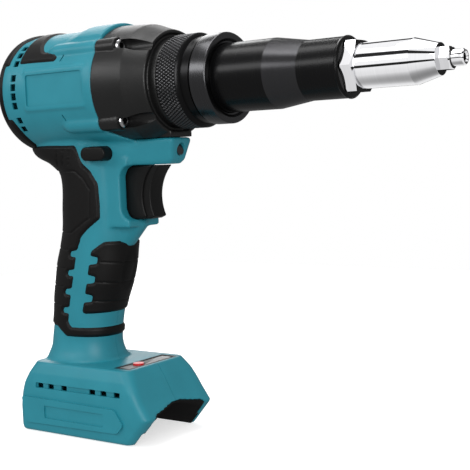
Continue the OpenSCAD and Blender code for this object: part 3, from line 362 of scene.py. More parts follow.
def turned(profile, steps=128, rounding=0.0, ring=False):
    """Spins a profile of (station, radius) points round the barrel axis. A ring's profile is closed."""
    bm = bmesh.new()
    verts = [bm.verts.new((x, 0, AXIS + r)) for x, r in profile]
    for pair in zip(verts, verts[1:] + verts[:ring]):
        bm.edges.new(pair)
    round_corners(bm, verts if ring else verts[1:-1], rounding)
    bmesh.ops.spin(bm, geom=bm.verts[:] + bm.edges[:], cent=(0, 0, AXIS), axis=(1, 0, 0),
                   angle=2 * math.pi, steps=steps, use_merge=True)
    bmesh.ops.remove_doubles(bm, verts=bm.verts[:], dist=0.001)
    return bm


def outlined(corners, rounding=0.0, segments=ROUND_STEPS):
    """A flat face with rounded corners."""
    bm = bmesh.new()
    bm.faces.new([bm.verts.new(corner) for corner in corners])
    round_corners(bm, bm.verts[:], rounding, segments)
    return bm


def extruded(bm, way):
    top = bmesh.ops.extrude_face_region(bm, geom=bm.faces[:])
    bmesh.ops.translate(bm, vec=way, verts=new_verts(top))
    return bm


def prism(points, y0, y1, rounding=0.0, segments=ROUND_STEPS):
    """Extrudes a side view of (x, z) points from y0 to y1."""
    return extruded(outlined([(x, y0, z) for x, z in points], rounding, segments), (0, y1 - y0, 0))


def bevelled(bm, width, segments=ROUND_STEPS, angle=30):
    """Rounds every edge that is sharper than an angle."""
    bmesh.ops.recalc_face_normals(bm, faces=bm.faces[:])
    limit = math.radians(angle)
    sharp = [e for e in bm.edges if len(e.link_faces) == 2 and e.calc_face_angle() > limit]
    bmesh.ops.bevel(bm, geom=sharp, affect="EDGES", offset=width, segments=segments, profile=0.5,
                    material=-1, clamp_overlap=True)
    return bm


def block(low, high):
    bm = bmesh.new()
    bmesh.ops.create_cube(bm, size=1)
    low, high = Vector(low), Vector(high)
    bmesh.ops.scale(bm, vec=high - low, verts=bm.verts[:])
    bmesh.ops.translate(bm, vec=(low + high) / 2, verts=bm.verts[:])
    return bm


TURNS = {"X": Matrix.Rotation(math.pi / 2, 4, "Y"), "Y": Matrix.Rotation(-math.pi / 2, 4, "X"),
         "Z": Matrix.Identity(4)}


def rod(start, length, radius, along="X", sides=48):
    """A round bar that starts at a point and runs along an axis. With six sides it is a hexagon."""
    bm = bmesh.new()
    turn = TURNS[along]
    middle = Vector(start) + turn.to_3x3() @ Vector((0, 0, length / 2))
    bmesh.ops.create_cone(bm, cap_ends=True, segments=sides, radius1=radius, radius2=radius, depth=length,
                          matrix=Matrix.Translation(middle) @ turn)
    return bm


def stadium(x, z, length, height, y0, y1, grow=0.0):
    """A side view with round ends, extruded from y0 to y1."""
    r = height / 2 + grow
    reach = (length - height) / 2
    return prism([(x + math.copysign(reach, math.cos(t)) + r * math.cos(t), z + r * math.sin(t))
                  for t in full_turn(48, 0.5)], y0, y1)


def hull(rings):
    """The convex form round several rings of points."""
    bm = bmesh.new()
    for ring in rings:
        for point in ring:
            bm.verts.new(point)
    bmesh.ops.convex_hull(bm, input=bm.verts[:])
    loose = [v for v in bm.verts if not v.link_faces]
    bmesh.ops.delete(bm, geom=loose, context="VERTS")
    return bm


def loft(rows, ring, sides=144):
    """Skins a stack of rings: a unit tube is extruded up, and ring(row, turn) then places its points."""
    bm = bmesh.new()
    bmesh.ops.create_circle(bm, cap_ends=True, radius=1, segments=sides)
    edges = bm.edges[:]
    for _ in rows[1:]:
        grown = bmesh.ops.extrude_edge_only(bm, edges=edges)
        bmesh.ops.translate(bm, vec=(0, 0, 1), verts=new_verts(grown))
        edges = [e for e in edges_of(grown["geom"]) if e.is_boundary]
    bmesh.ops.edgeloop_fill(bm, edges=edges)
    for vert in bm.verts:
        turn = math.atan2(vert.co.y, vert.co.x)
        vert.co = ring(rows[round(vert.co.z)], turn)
    return bm


print("helpers ready")

# %% [markdown]
# ## The handle as rows of rings
# The handle leans, waists and swells, so no single operator gives it. A loft does: a few rows say how high
# each ring is, how far it leans and how deep and wide it is, and a smooth curve through the rows gives as
# many rings as the skin needs. The same rows later give the rubber grips their surface.

# %% Rows of the handle and of the base
HANDLE_D, HANDLE_W, HANDLE_LEAN = 56.0, 39.0, 18.0
X_HANDLE = X_CASE - 29.2
BASE_L, BASE_W, BASE_H = 110.0, 67.6, 45.0
X_BASE = X_CASE - 80.5
HANDLE_RUN = AXIS - HEAD_R - BASE_H
POWER = 2.3
# Where along a quarter of a base ring its rounded corner starts and ends
BEND_FROM, BEND_TO = 0.3, 0.7

# Shares of the handle's height, lean, depth and width
HANDLE_SHARES = [
    (0.00, 1.03, 0.98, 1.23), (0.03, 1.03, 0.94, 1.08), (0.06, 1.01, 0.89, 1.00), (0.10, 1.00, 0.88, 0.95),
    (0.22, 0.83, 0.87, 0.95), (0.30, 0.69, 0.92, 0.97), (0.38, 0.50, 0.96, 1.00), (0.46, 0.35, 0.98, 1.00),
    (0.54, 0.20, 0.94, 1.00), (0.62, 0.06, 0.93, 1.00), (0.70, 0.00, 0.94, 1.00), (0.88, 0.00, 0.94, 1.00),
    (0.94, 0.28, 1.12, 1.00), (0.975, 0.60, 1.33, 1.00), (1.01, 0.73, 1.41, 1.00), (1.06, 0.73, 1.41, 1.00)]
# Shares of the base's height, of its length at the rear and front, of its width, and of its corners
BASE_SHARES = [
    (0.00, 0.010, 0.868, 0.985, 0.075), (0.06, 0.000, 0.890, 1.000, 0.080),
    (0.37, 0.000, 1.000, 1.000, 0.080), (0.57, 0.015, 0.942, 0.995, 0.080),
    (0.70, 0.030, 0.912, 0.985, 0.085), (0.84, 0.058, 0.880, 0.950, 0.095),
    (1.00, 0.095, 0.835, 0.860, 0.110)]


def between(rows, share):
    """The row at a height share, on a smooth curve through the given rows."""
    k = max(0, min(len(rows) - 2, sum(row[0] <= share for row in rows) - 1))
    a, b, c, d = (rows[max(0, min(len(rows) - 1, k + i))] for i in (-1, 0, 1, 2))
    gap = c[0] - b[0]
    t = (share - b[0]) / gap
    slopes = []
    for before, after in ((a, c), (b, d)):
        step = max(after[0] - before[0], 1e-6)
        slopes.append([(q - p) / step * gap for p, q in zip(before, after)])
    h = (2 * t**3 - 3 * t**2 + 1, t**3 - 2 * t**2 + t, 3 * t**2 - 2 * t**3, t**3 - t**2)
    return [h[0] * p + h[1] * m + h[2] * q + h[3] * n
            for p, m, q, n in zip(b, slopes[0], c, slopes[1])]


def handle_rows(count, low=0.0, high=HANDLE_SHARES[-1][0]):
    return [between(HANDLE_SHARES, low + (high - low) * k / (count - 1)) for k in range(count)]


def power_of(value):
    return math.copysign(abs(value) ** (2 / POWER), value)


def handle_ring(grow):
    def point(row, turn):
        height, lean, depth, width = row
        return (X_HANDLE - lean * HANDLE_LEAN + (depth * HANDLE_D / 2 + grow) * power_of(math.cos(turn)),
                (width * HANDLE_W / 2 + grow) * power_of(math.sin(turn)), BASE_H + height * HANDLE_RUN)
    return point


def base_ring(grow):
    def point(row, turn):
        height, rear, front, width, corner = row
        half_l = (front - rear) * BASE_L / 2 + grow
        half_w = width * BASE_W / 2 + grow
        r = corner * BASE_W + grow
        c, s = math.cos(turn), math.sin(turn)
        part = math.atan2(abs(s), abs(c)) / (math.pi / 2)
        bend = min(max((part - BEND_FROM) / (BEND_TO - BEND_FROM), 0), 1) * math.pi / 2
        x = half_l - r + r * math.cos(bend) if part < BEND_TO else (half_l - r) * (1 - part) / (1 - BEND_TO)
        y = half_w - r + r * math.sin(bend) if part > BEND_FROM else (half_w - r) * part / BEND_FROM
        middle = X_BASE + (front + rear) * BASE_L / 2
        return middle + math.copysign(x, c), math.copysign(y, s), height * BASE_H
    return point


def handle_middle(z):
    return X_HANDLE - HANDLE_LEAN * between(HANDLE_SHARES, (z - BASE_H) / HANDLE_RUN)[1]


print(f"handle rows from {BASE_H:.0f} mm up, over {HANDLE_RUN:.1f} mm")

# %% [markdown]
# ## Materials
# The tool has few finishes: satin teal plastic, soft black rubber, a cast gear case, black polished steel
# and chrome. Plastic and rubber share a fine moulded grain, and turned metal shares faint rings. Both are
# node groups on Object coordinates, so the grain stays the same size on every piece, and each material
# keeps its own Principled node and plain values.

# %% Shared node groups
def effect_group(name, stretch, detail, spread, broad_scale=None):
    """Fine relief, and a roughness and a tint that follow it or change more broadly."""
    tree = bpy.data.node_groups.new(name, "ShaderNodeTree")
    for way, keys in (("INPUT", ("Scale", "Roughness")), ("OUTPUT", ("Height", "Roughness", "Tint"))):
        for key in keys:
            tree.interface.new_socket(key, in_out=way, socket_type="NodeSocketFloat")
    given = tree.nodes.new("NodeGroupInput").outputs
    result = tree.nodes.new("NodeGroupOutput").inputs
    links = tree.links.new
    stretched = add(tree, "Mapping", Scale=stretch)
    links(add(tree, "TexCoord").outputs["Object"], stretched.inputs["Vector"])
    fine = add(tree, "TexNoise", Detail=detail)
    links(given["Scale"], fine.inputs["Scale"])
    links(stretched.outputs["Vector"], fine.inputs["Vector"])
    broad = fine
    if broad_scale:
        broad = add(tree, "TexNoise", Scale=broad_scale, Detail=detail)
        links(stretched.outputs["Vector"], broad.inputs["Vector"])
    change = add(tree, "MapRange", To_Min=-spread, To_Max=spread)
    total = add(tree, "Math", operation="ADD")
    links(fine.outputs["Fac"], result["Height"])
    links(broad.outputs["Fac"], result["Tint"])
    links(broad.outputs["Fac"], change.inputs["Value"])
    links(change.outputs["Result"], total.inputs[0])
    links(given["Roughness"], total.inputs[1])
    links(total.outputs[0], result["Roughness"])
    return tree


GRAIN = effect_group("moulded_grain", (1, 1, 1), 2.0, 0.05, broad_scale=60.0)
RINGS = effect_group("turned_rings", (3000, 12, 12), 3.0, 0.04)
print("node groups:", GRAIN.name, RINGS.name)

# %% Materials
TINT_SHARES = (0.9, 1.1)
RELIEF = 0.0002


def rgb(red, green, blue):
    """A colour as it looks on screen, from 0 to 255, in the linear values that Blender mixes."""
    return tuple((v / 255 / 12.92 if v < 11 else ((v / 255 + 0.055) / 1.055) ** 2.4)
                 for v in (red, green, blue)) + (1.0,)


def finish(name, colour, roughness, effect, bump, scale=1.0, metallic=0.0, specular=0.5, coat=0.0):
    mat = bpy.data.materials.new(name)
    mat.use_nodes = True
    tree = mat.node_tree
    links = tree.links.new
    surface = tree.nodes["Principled BSDF"].inputs
    for key, value in (("Base Color", colour), ("Metallic", metallic), ("Roughness", roughness),
                       ("Coat Weight", coat), ("Specular IOR Level", specular)):
        surface[key].default_value = value
    shared = add(tree, "Group", node_tree=effect)
    shared.inputs["Scale"].default_value = scale
    shared.inputs["Roughness"].default_value = roughness
    relief = add(tree, "Bump", Strength=bump, Distance=RELIEF)
    links(shared.outputs["Height"], relief.inputs["Height"])
    links(relief.outputs["Normal"], surface["Normal"])
    # A mirror keeps a plain roughness of 0, by which the world knows its rays
    if roughness > 0:
        links(shared.outputs["Roughness"], surface["Roughness"])
    tints = [tuple(min(1, share * v) for v in colour[:3]) + (1.0,) for share in TINT_SHARES]
    links(mixed(tree, shared.outputs["Tint"], *tints), surface["Base Color"])
    return mat


def paint_shade(mat, colour):
    """Paints shade into a finish: darkens it where a mesh has the value 1 in its own attribute named edge."""
    tree = mat.node_tree
    rim = add(tree, "Attribute", attribute_name="edge")
    base = tree.nodes["Principled BSDF"].inputs["Base Color"]
    tree.links.new(mixed(tree, rim.outputs["Fac"], base.links[0].from_socket, colour), base)


TEAL = finish("teal_plastic", rgb(32, 120, 135), 0.42, GRAIN, 0.10, 2600.0, specular=0.35)
RUBBER = finish("black_rubber", rgb(12, 11, 11), 0.50, GRAIN, 0.25, 1800.0, specular=0.25)
DARK = finish("black_plastic", rgb(13, 13, 13), 0.46, GRAIN, 0.15, 2200.0, specular=0.25)
CAST = finish("cast_case", rgb(22, 22, 22), 0.38, GRAIN, 0.30, 1500.0, metallic=0.2, specular=0.6)
# Black steel for the barrel; on screw sockets and in the nose bore it is painted shade.
BLACK_STEEL_AND_SHADE = finish("black_steel", rgb(16, 16, 17), 0.26, RINGS, 0.05, metallic=0.4, specular=0.4)
# Lighter steel for the barrel's cone: partly a ground finish, partly a painted highlight.
CONE_STEEL_HIGHLIGHT = finish("ground_steel_with_painted_highlight", rgb(66, 66, 68), 0.24, RINGS, 0.08, metallic=0.8)
POLISHED = finish("polished_steel", rgb(88, 88, 90), 0.26, RINGS, 0.05, metallic=1.0)
KNURLED = finish("knurled_steel", rgb(98, 98, 100), 0.30, GRAIN, 0.1, 1500.0, metallic=0.9)
CHROME = finish("chrome", rgb(226, 226, 228), 0.0, RINGS, 0.01, metallic=1.0)
BRIGHT = finish("bright_steel", rgb(236, 236, 238), 0.22, GRAIN, 0.05, 1500.0, metallic=1.0)
STEEL = finish("steel", rgb(168, 168, 170), 0.3, GRAIN, 0.1, 1500.0, metallic=1.0)
BRONZE = finish("bronze", rgb(176, 134, 74), 0.35, GRAIN, 0.1, 1500.0, metallic=1.0)
COPPER = finish("copper", rgb(184, 112, 70), 0.4, GRAIN, 0.1, 900.0, metallic=1.0)
GOLD = finish("contact_gold", rgb(206, 170, 92), 0.3, GRAIN, 0.1, 1500.0, metallic=1.0)
BOARD = finish("board_green", rgb(24, 84, 50), 0.45, GRAIN, 0.1, 900.0)
RED = finish("red_button", rgb(196, 30, 34), 0.35, GRAIN, 0.05, 2200.0)
GREY = finish("grey_field", rgb(118, 120, 120), 0.4, GRAIN, 0.05, 2200.0)
LENS = finish("lamp_lens", rgb(14, 16, 20), 0.10, GRAIN, 0.02, 900.0, coat=0.8)
# Painted shade: the rubber's rim gap and grooves, and the knurl's grooves, are darkened towards these
# colours.
paint_shade(RUBBER, rgb(3, 3, 3))
paint_shade(KNURLED, rgb(4, 4, 4))
print("materials:", len(bpy.data.materials))

# %% [markdown]
# ## Placing a finished piece
# A finished piece gets its material, rides on its body and hides the CAD node it stands for. One short
# function keeps these calls together, so that no piece is forgotten. A second one gives some faces of a piece
# another finish, such as painted shade in the socket of a bright screw, or a lighter cone that is partly a
# painted highlight.

# %% One call for each finished piece
def place(obj, mat, node=None, body="housing"):
    obj.data.materials.clear()
    obj.data.materials.append(mat)
    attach(obj, body)
    if node:
        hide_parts(node)
    print(f"{obj.name}: {len(obj.data.polygons)} faces on {body}")
    return obj


def second_finish(obj, mat, chosen):
    """Gives a finish to the faces that chosen(x, y, z) picks by their middle, in millimetres."""
    obj.data.materials.append(mat)
    for face in obj.data.polygons:
        face.material_index = int(chosen(*(face.center / MM)))


# %% [markdown]
# ## Moulded housing, outside
# The real housing is two moulded halves. One skin is made first, because both halves share it: the spun
# motor head, its raised side panels and screw ridges, the lofted handle and base and the front lip are
# gathered, remeshed into one surface and smoothed, which rounds every inner and outer corner as a mould does.

# %% Motor head
SCREW_Y, SCREW_Z, RIDGE_R = 26.5, 22.1, 5.6
# Side of the axis, and length of the ridge behind the gear case
RIDGE_RUNS = ((1, 33.0), (-1, 24.0))
RIDGE_STRETCH, RIDGE_GAP = 1.6, 0.1
PAD_X0, PAD_X1, PAD_H, PAD_Y = X_CASE - 56.6, X_CASE - 6.7, 25.3, 36.5
HEAD_ROUND = 14.0
HUMP_X, HUMP_TOP_X, HUMP_Y, HUMP_RISE, HUMP_SINK = X_CASE - 32, X_CASE - 20, 25.0, 2.2, 0.2


def head(grow, front):
    arc = [(X_REAR + HEAD_ROUND - (HEAD_ROUND + grow) * math.cos(t),
            HEAD_R - HEAD_ROUND + (HEAD_ROUND + grow) * math.sin(t)) for t in quarter_turn(12)]
    return turned([(X_REAR - grow, 0)] + arc + [(front, HEAD_R + grow), (front, 0)])


def hump():
    bm = turned([(HUMP_X, 0), (HUMP_X, HEAD_R - HUMP_SINK), (HUMP_TOP_X, HEAD_R + HUMP_RISE),
                 (X_CASE, HEAD_R + HUMP_RISE), (X_CASE, 0)])
    for at, way in (((0, -HUMP_Y, 0), (0, -1, 0)), ((0, HUMP_Y, 0), (0, 1, 0)), ((0, 0, AXIS), (0, 0, -1))):
        cut = bmesh.ops.bisect_plane(bm, geom=bm.verts[:] + bm.edges[:] + bm.faces[:], plane_co=at,
                                     plane_no=way, clear_outer=True)
        bmesh.ops.edgeloop_fill(bm, edges=edges_of(cut["geom_cut"]))
    return bm


def ridges():
    """The four raised bars that carry the case screws, with round rear ends."""
    bars = []
    stretch = Matrix.Diagonal((RIDGE_STRETCH, 1, 1, 1))
    for sy in (-1, 1):
        for sz, run in RIDGE_RUNS:
            at = (X_CASE - run, sy * SCREW_Y, AXIS + sz * SCREW_Z)
            bars.append(make("ridge", rod(at, run - RIDGE_GAP, RIDGE_R)))
            bm = bmesh.new()
            bmesh.ops.create_uvsphere(bm, u_segments=32, v_segments=16, radius=RIDGE_R,
                                      matrix=Matrix.Translation(at) @ stretch)
            bars.append(make("ridge_end", bm))
    return bars


parts = [make("head", head(0, X_CASE)), make("hump", hump()),
         make("pads", block((PAD_X0, -PAD_Y, AXIS - PAD_H / 2), (PAD_X1, PAD_Y, AXIS + PAD_H / 2)))]
parts += ridges()
print("forms of the head:", len(parts))

# %% Front lip, finger lip and saddle
LIP_TOP, LIP_H, LIP_W, LIP_RAKE, LIP_ROUND = 186.2, 16.0, 20.6, 3.5, 2.5
LIP_UNDER_W = 0.74 * LIP_W
TRIGGER_Z, TRIGGER_H = 136.8, 33.0
CHEEK_X, CHEEK_Y, CHEEK_DROP = -60.9, 15.0, 5.0
FINGER_TOP, FINGER_W = TRIGGER_Z - 1.4, 0.6 * HANDLE_W
# Depth under the top of the finger lip, shift from the handle's middle, and how far it falls short in front
FINGER_ROWS = ((0, 8.0, 0), (2, 8.5, 0), (5, 6.5, 0), (16, -2.0, 2))
SADDLE_X, SADDLE_Y, SADDLE_UP, SADDLE_DOWN, SADDLE_R, SADDLE_L = 13.0, 23.0, 6.0, 8.0, 31.0, 40.0


def plan(x_front, front_w, root_w, z):
    """A ring of points, seen from above, that narrows from the handle to the front."""
    ring = []
    for x, w in ((x_front - LIP_ROUND, front_w), (X_HANDLE, root_w)):
        for side in (-1, 1):
            ring += [(x + LIP_ROUND * math.cos(t), side * (w / 2 - LIP_ROUND) + LIP_ROUND * math.sin(t), z)
                     for t in full_turn(24)]
    return ring


def front_lip(grow):
    r, g = LIP_ROUND, 2 * grow
    front, under = X_LIP + grow, X_LIP - LIP_RAKE + grow
    return hull([plan(front, LIP_W + g, HANDLE_W + g, LIP_TOP - r / 2),
                 plan(front - r / 2, LIP_W - r + g, HANDLE_W - r + g, LIP_TOP + grow),
                 plan(under, LIP_UNDER_W + g, HANDLE_W + g, LIP_TOP - LIP_H + r),
                 plan(under - r, LIP_UNDER_W - r + g, HANDLE_W - r + g, LIP_TOP - LIP_H - grow)])


def finger_lip():
    return hull([[(X_HANDLE + shift + (HANDLE_D / 2 - short) * power_of(math.cos(t)),
                   FINGER_W / 2 * power_of(math.sin(t)), FINGER_TOP - down) for t in full_turn(48)]
                 for down, shift, short in FINGER_ROWS])


def trigger_cheeks():
    """Two walls beside the root of the trigger, which carry the rim of its mouth."""
    return block((X_HANDLE, -CHEEK_Y, TRIGGER_Z - CHEEK_DROP),
                 (CHEEK_X, CHEEK_Y, TRIGGER_Z + TRIGGER_H + CHEEK_DROP))


def saddle():
    view = [(X_CASE - SADDLE_X, LIP_TOP - SADDLE_DOWN), (X_CASE - SADDLE_X, LIP_TOP + SADDLE_UP),
            (X_CASE - 0.2, LIP_TOP + SADDLE_UP), (X_CASE + SADDLE_X, LIP_TOP - 0.4),
            (X_CASE + SADDLE_X, LIP_TOP - SADDLE_DOWN)]
    solid = make("saddle", prism(view, -SADDLE_Y, SADDLE_Y))
    start = (X_CASE - SADDLE_L / 2, 0, AXIS)
    drums = [make("drum", rod(start, SADDLE_L, r, sides=96)) for r in (CASE_R, SADDLE_R)]
    combine(solid, drums[:1], "INTERSECT")
    return combine(solid, drums[1:])


OUTER_VOXEL = 0.8
parts += [make("front_lip", front_lip(0)), make("finger_lip", finger_lip()), make("cheeks", trigger_cheeks()),
          make("handle", loft(handle_rows(70), handle_ring(0))),
          make("base", loft(BASE_SHARES, base_ring(0), 160)), saddle()]
outer = remesh(gather("outer", parts), OUTER_VOXEL, 3)
print("outer form:", len(outer.data.polygons), "faces")

# %% [markdown]
# ## Openings of the housing
# A mould makes the openings with the wall. Here they are cut with the Boolean modifier: first the broad ones,
# whose rims a second remesh rounds, then the hollow inside and the small sharp ones, such as the air slots.
# The hollow matters, because the motor, the switch and the trigger sit in it and show through the slots.

# %% Broad cuts: dock, trigger slot, side panels and direction recess
X_DOCK = X_BASE + 9
RAIL_Y, RAIL_Z, NECK_Y = 29.0, 8.0, 26.0
ROOF_ROUND, ROOF_Z, CROWN_Y, CROWN_Z = 6.0, 13.0, 4.0, 22.2
DIRECTION = (-81.2, 178.2, 20.0, 8.6)
RECESS_Y, RECESS_GROW = 18.2, 2.2
X_SLOT, X_SLOT_FRONT, SLOT_Y, SLOT_GAP = -79.1, -30.0, 7.9, 0.4
X_MOUTH, MOUTH_Y, MOUTH_ROUND = -67.5, 30.0, 8.0
CUT_VOXEL = 0.84


def dock(inset=0.0, start=0.0):
    """The room for the battery's head, with a rail groove on both sides and a rounded roof."""
    r = ROOF_ROUND - inset
    arc = [(NECK_Y - ROOF_ROUND + r * math.cos(t), ROOF_Z + r * math.sin(t)) for t in quarter_turn(8)]
    half = [(RAIL_Y - inset, -1), (RAIL_Y - inset, RAIL_Z - inset), (NECK_Y - inset, RAIL_Z - inset)] + arc
    half.append((CROWN_Y, CROWN_Z - inset))
    x0, x1 = X_DOCK + start, X_BASE + BASE_L + 2
    front = [(x0, y, z) for y, z in half] + [(x0, -y, z) for y, z in reversed(half)]
    return extruded(outlined(front), (x1 - x0, 0, 0))


def trigger_slot():
    low, high = TRIGGER_Z - SLOT_GAP, TRIGGER_Z + TRIGGER_H + SLOT_GAP
    view = [(X_MOUTH, low), (0, low), (0, high), (X_MOUTH, high)]
    return [make("slot", block((X_SLOT, -SLOT_Y, low), (X_SLOT_FRONT, SLOT_Y, high))),
            make("mouth", prism(view, -MOUTH_Y, MOUTH_Y, MOUTH_ROUND, 8))]


def both_sides(name, inner, view, rounding=0.0, end=OUT_Y):
    """A side view cut into, or put on, both sides, from an inner place outwards."""
    return [make(name, prism(view, *sorted((side * inner, side * end)), rounding)) for side in (-1, 1)]


def side_fields(end, inset, depth, rounding):
    """Flats on both sides of the head, or the sunk field in each."""
    low, high = AXIS - PAD_H / 2 + inset, AXIS + PAD_H / 2 - inset
    view = [(PAD_X0 + end, low), (PAD_X1 - end, low), (PAD_X1 - end, high), (PAD_X0 + end, high)]
    return both_sides("field", PAD_Y - depth, view, rounding)


recesses = [make("recess", stadium(*DIRECTION, side * RECESS_Y, side * OUT_Y, RECESS_GROW))
            for side in (-1, 1)]
flats = side_fields(end=0, inset=0, depth=0, rounding=0)
combine(outer, [make("dock", dock())] + trigger_slot() + flats + recesses)
remesh(outer, CUT_VOXEL, 2)
print("outer form with broad cuts:", len(outer.data.polygons), "faces")

# %% The hollow inside
DECK_Z, BASE_VENT_Z, X_VENT = 25.3, 30.6, X_REAR + 20
GROOVE_X0, GROOVE_X1 = X_BASE + 0.15 * BASE_L, X_BASE + 0.805 * BASE_L
# Behind the air slots the wall is thin, so that they look open from the side
HEAD_THIN, BASE_THIN_Y, THIN_X, THIN_Z = 0.9, 31.3, 3.0, 2.5
LIP_POST_SHARE, LIP_L, REAR_POST_SHARE = 0.55, 39.0, 0.3
POST_R, INSIDE_VOXEL = 4.0, 1.2
POSTS = [(X_BASE + 11, 33.3)]
POSTS += [(handle_middle(z), z) for z in (BASE_H + share * HANDLE_RUN for share in (0.22, 0.53))]
POSTS += [(x, LIP_TOP - LIP_H / 2)
          for x in (X_CASE + LIP_POST_SHARE * LIP_L, X_HANDLE - REAR_POST_SHARE * HANDLE_D)]


def hollow():
    deck = make("deck", loft(BASE_SHARES, base_ring(-WALL), 96))
    combine(deck, [make("room", block((-FAR_X, -FAR_Y, DECK_Z), (0, FAR_Y, BASE_H - WALL)))], "INTERSECT")
    rooms = [make("thin", rod((X_VENT - THIN_X, 0, AXIS), 2 * THIN_X, HEAD_R - HEAD_THIN, sides=96)),
             make("thin", block((GROOVE_X0, -BASE_THIN_Y, BASE_VENT_Z - THIN_Z),
                                (GROOVE_X1, BASE_THIN_Y, BASE_VENT_Z + THIN_Z))),
             make("head", head(-WALL, X_CASE + 3)), make("lip", front_lip(-WALL)), deck,
             make("handle", loft(handle_rows(40, 0.02), handle_ring(-WALL), 96))]
    inside = remesh(gather("inside", rooms), INSIDE_VOXEL, 2)
    posts = [make("post", rod((x, -OUT_Y, z), 2 * OUT_Y, POST_R, along="Y")) for x, z in POSTS]
    return combine(inside, [gather("posts", posts)])


combine(outer, [hollow()])
print("hollow housing:", len(outer.data.polygons), "faces")

# %% Air slots
VENT, VENT_DEPTH, VENT_OVER = 4.4, 6.0, 3.0
# Half turns round the head, from the top
VENT_SHARES = (0.23, 0.285, 0.34, 0.425, 0.475, 0.525, 0.575, 0.66, 0.715)
# Station, height over the axis and slope of each slit
SLITS = ((X_CASE - 26.3, 18.4, 0.5), (X_CASE - 27.1, -18.1, -0.35))
SLIT_Y, SLIT_H, SLIT_W = 31.0, 2.0, 0.5
BASE_VENT_SHARES = (0.18, 0.265, 0.37, 0.59, 0.675, 0.775)
BASE_VENT_Y, BASE_VENT_W, BASE_VENT_H = 25.0, 2.5, 1.7
GROOVE_H = 1.6


def upright(x, z, half_w, half_h, slope=0.0):
    """A rectangle in the side view, or one that leans."""
    corners = ((-half_h, -half_w), (-half_h, half_w), (half_h, half_w), (half_h, -half_w))
    return [(x + slope * h + w, z + h) for h, w in corners]


def head_vents():
    cuts = []
    for side in (-1, 1):
        for share in VENT_SHARES:
            bm = block((-VENT / 2, -VENT / 2, -VENT_DEPTH), (VENT / 2, VENT / 2, VENT_OVER))
            turn = Matrix.Translation((X_VENT, 0, AXIS)) @ Matrix.Rotation(side * math.pi * share, 4, "X")
            bmesh.ops.transform(bm, matrix=turn @ Matrix.Translation((0, 0, HEAD_R)), verts=bm.verts[:])
            cuts.append(make("vent", bm))
    return cuts


def head_slits():
    """Two small slanting slits behind the screw bars, on each side."""
    return [cut for x, z, slope in SLITS
            for cut in both_sides("slit", SLIT_Y, upright(x, AXIS + z, SLIT_W, SLIT_H, slope))]


def base_vents():
    views = [upright(X_BASE + share * BASE_L, BASE_VENT_Z, BASE_VENT_W, BASE_VENT_H)
             for share in BASE_VENT_SHARES]
    return [cut for view in views for cut in both_sides("vent", BASE_VENT_Y, view)]


def base_grooves():
    """The shallow groove that holds each row of base vents."""
    view = upright((GROOVE_X0 + GROOVE_X1) / 2, BASE_VENT_Z, (GROOVE_X1 - GROOVE_X0) / 2, GROOVE_H)
    return both_sides("groove", BASE_W / 2 - GROOVE_H, view)


# %% Side panels and holes
# Side views of the raised arrow on the base and of the sunk field in it
ARROW = [(-143, 22.7), (-62.9, 21.7), (-56.2, 12.6), (-61.4, 7.0), (-139.6, 5.8)]
FIELD = [(-122.8, 18.2), (-72.3, 18.2), (-72.3, 10.0), (-122.8, 10.0)]
ARROW_Y, ARROW_RISE, ARROW_ROUND, FIELD_RISE, FIELD_ROUND = 31.5, 1.3, 2.0, 0.5, 1.0
HOLE_R, HOLE_Y, BORE_R, BORE_Y = 3.5, 6.0, 1.8, -9.2
LAMP_R, LAMP_DEPTH, LAMP_Z = 3.55, 8.0, 179.0
BUTTON_GAP, PANEL_GAP = 0.3, 0.1
PANEL_LOW, PANEL_HIGH = (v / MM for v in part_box("display_panel"))


def lamp_hole():
    lamp = rod((0, 0, -LAMP_DEPTH), 2 * LAMP_DEPTH, LAMP_R, along="Z")
    tilt = Matrix.Rotation(math.pi / 2 - math.atan(LIP_RAKE / LIP_H), 4, "Y")
    at = Matrix.Translation((X_LIP - LIP_RAKE / 2, 0, LAMP_Z))
    bmesh.ops.transform(lamp, matrix=at @ tilt, verts=lamp.verts[:])
    return lamp


def screw_holes(y, radius):
    return [make("hole", rod((x, y, z), OUT_Y, radius, along="Y")) for x, z in POSTS]


def fixings():
    """Holes for the screws, the direction button, the display panel and the lamp."""
    gap = Vector((PANEL_GAP, PANEL_GAP, PANEL_GAP))
    return screw_holes(HOLE_Y, HOLE_R) + [
        make("button", stadium(*DIRECTION, -OUT_Y, OUT_Y, BUTTON_GAP)),
        make("panel", block(PANEL_LOW - gap, PANEL_HIGH + Vector((PANEL_GAP, PANEL_GAP, 4)))),
        make("lamp", lamp_hole())]


arrows = both_sides("arrow", ARROW_Y, ARROW, ARROW_ROUND, BASE_W / 2 + ARROW_RISE)
fields = both_sides("field", BASE_W / 2 + FIELD_RISE, FIELD, FIELD_ROUND)
fields += side_fields(end=1.2, inset=2.9, depth=0.9, rounding=1.5)
combine(outer, [gather("arrows", arrows)], "UNION")
combine(outer, [gather("fields", fields)])
combine(outer, [gather("openings", head_vents() + head_slits() + base_vents() + fixings()),
                gather("grooves", screw_holes(BORE_Y, BORE_R) + base_grooves())])
print("housing with openings:", len(outer.data.polygons), "faces")

# %% [markdown]
# ## Two halves and a lining
# The mould parts at the middle of the tool, so the skin is cut there, with a hair of a gap for the seam that
# shows on the real one. Intersecting a copy with a large block on each side does it. A thin black lining in
# the dock is partly the dark inner moulding that a battery slides in and partly painted shade, which darkens
# the inside where the lights don't reach.

# %% The two halves
for side, name in ((1, "left_housing"), (-1, "right_housing")):
    y0, y1 = sorted((side * SEAM / 2, side * FAR_Y))
    shell = copy_of(outer, "shell_" + name)
    combine(shell, [make("keep", block((-FAR_X, y0, -FAR_Z), (FAR_X, y1, FAR_Z)))], "INTERSECT")
    place(soften(shell, 42), TEAL, name)
bpy.data.objects.remove(outer)

# %% Lining of the dock, painted shade
LINING_GAP, LINING_INSIDE, LINING_BACK = 0.1, 0.9, 1.0
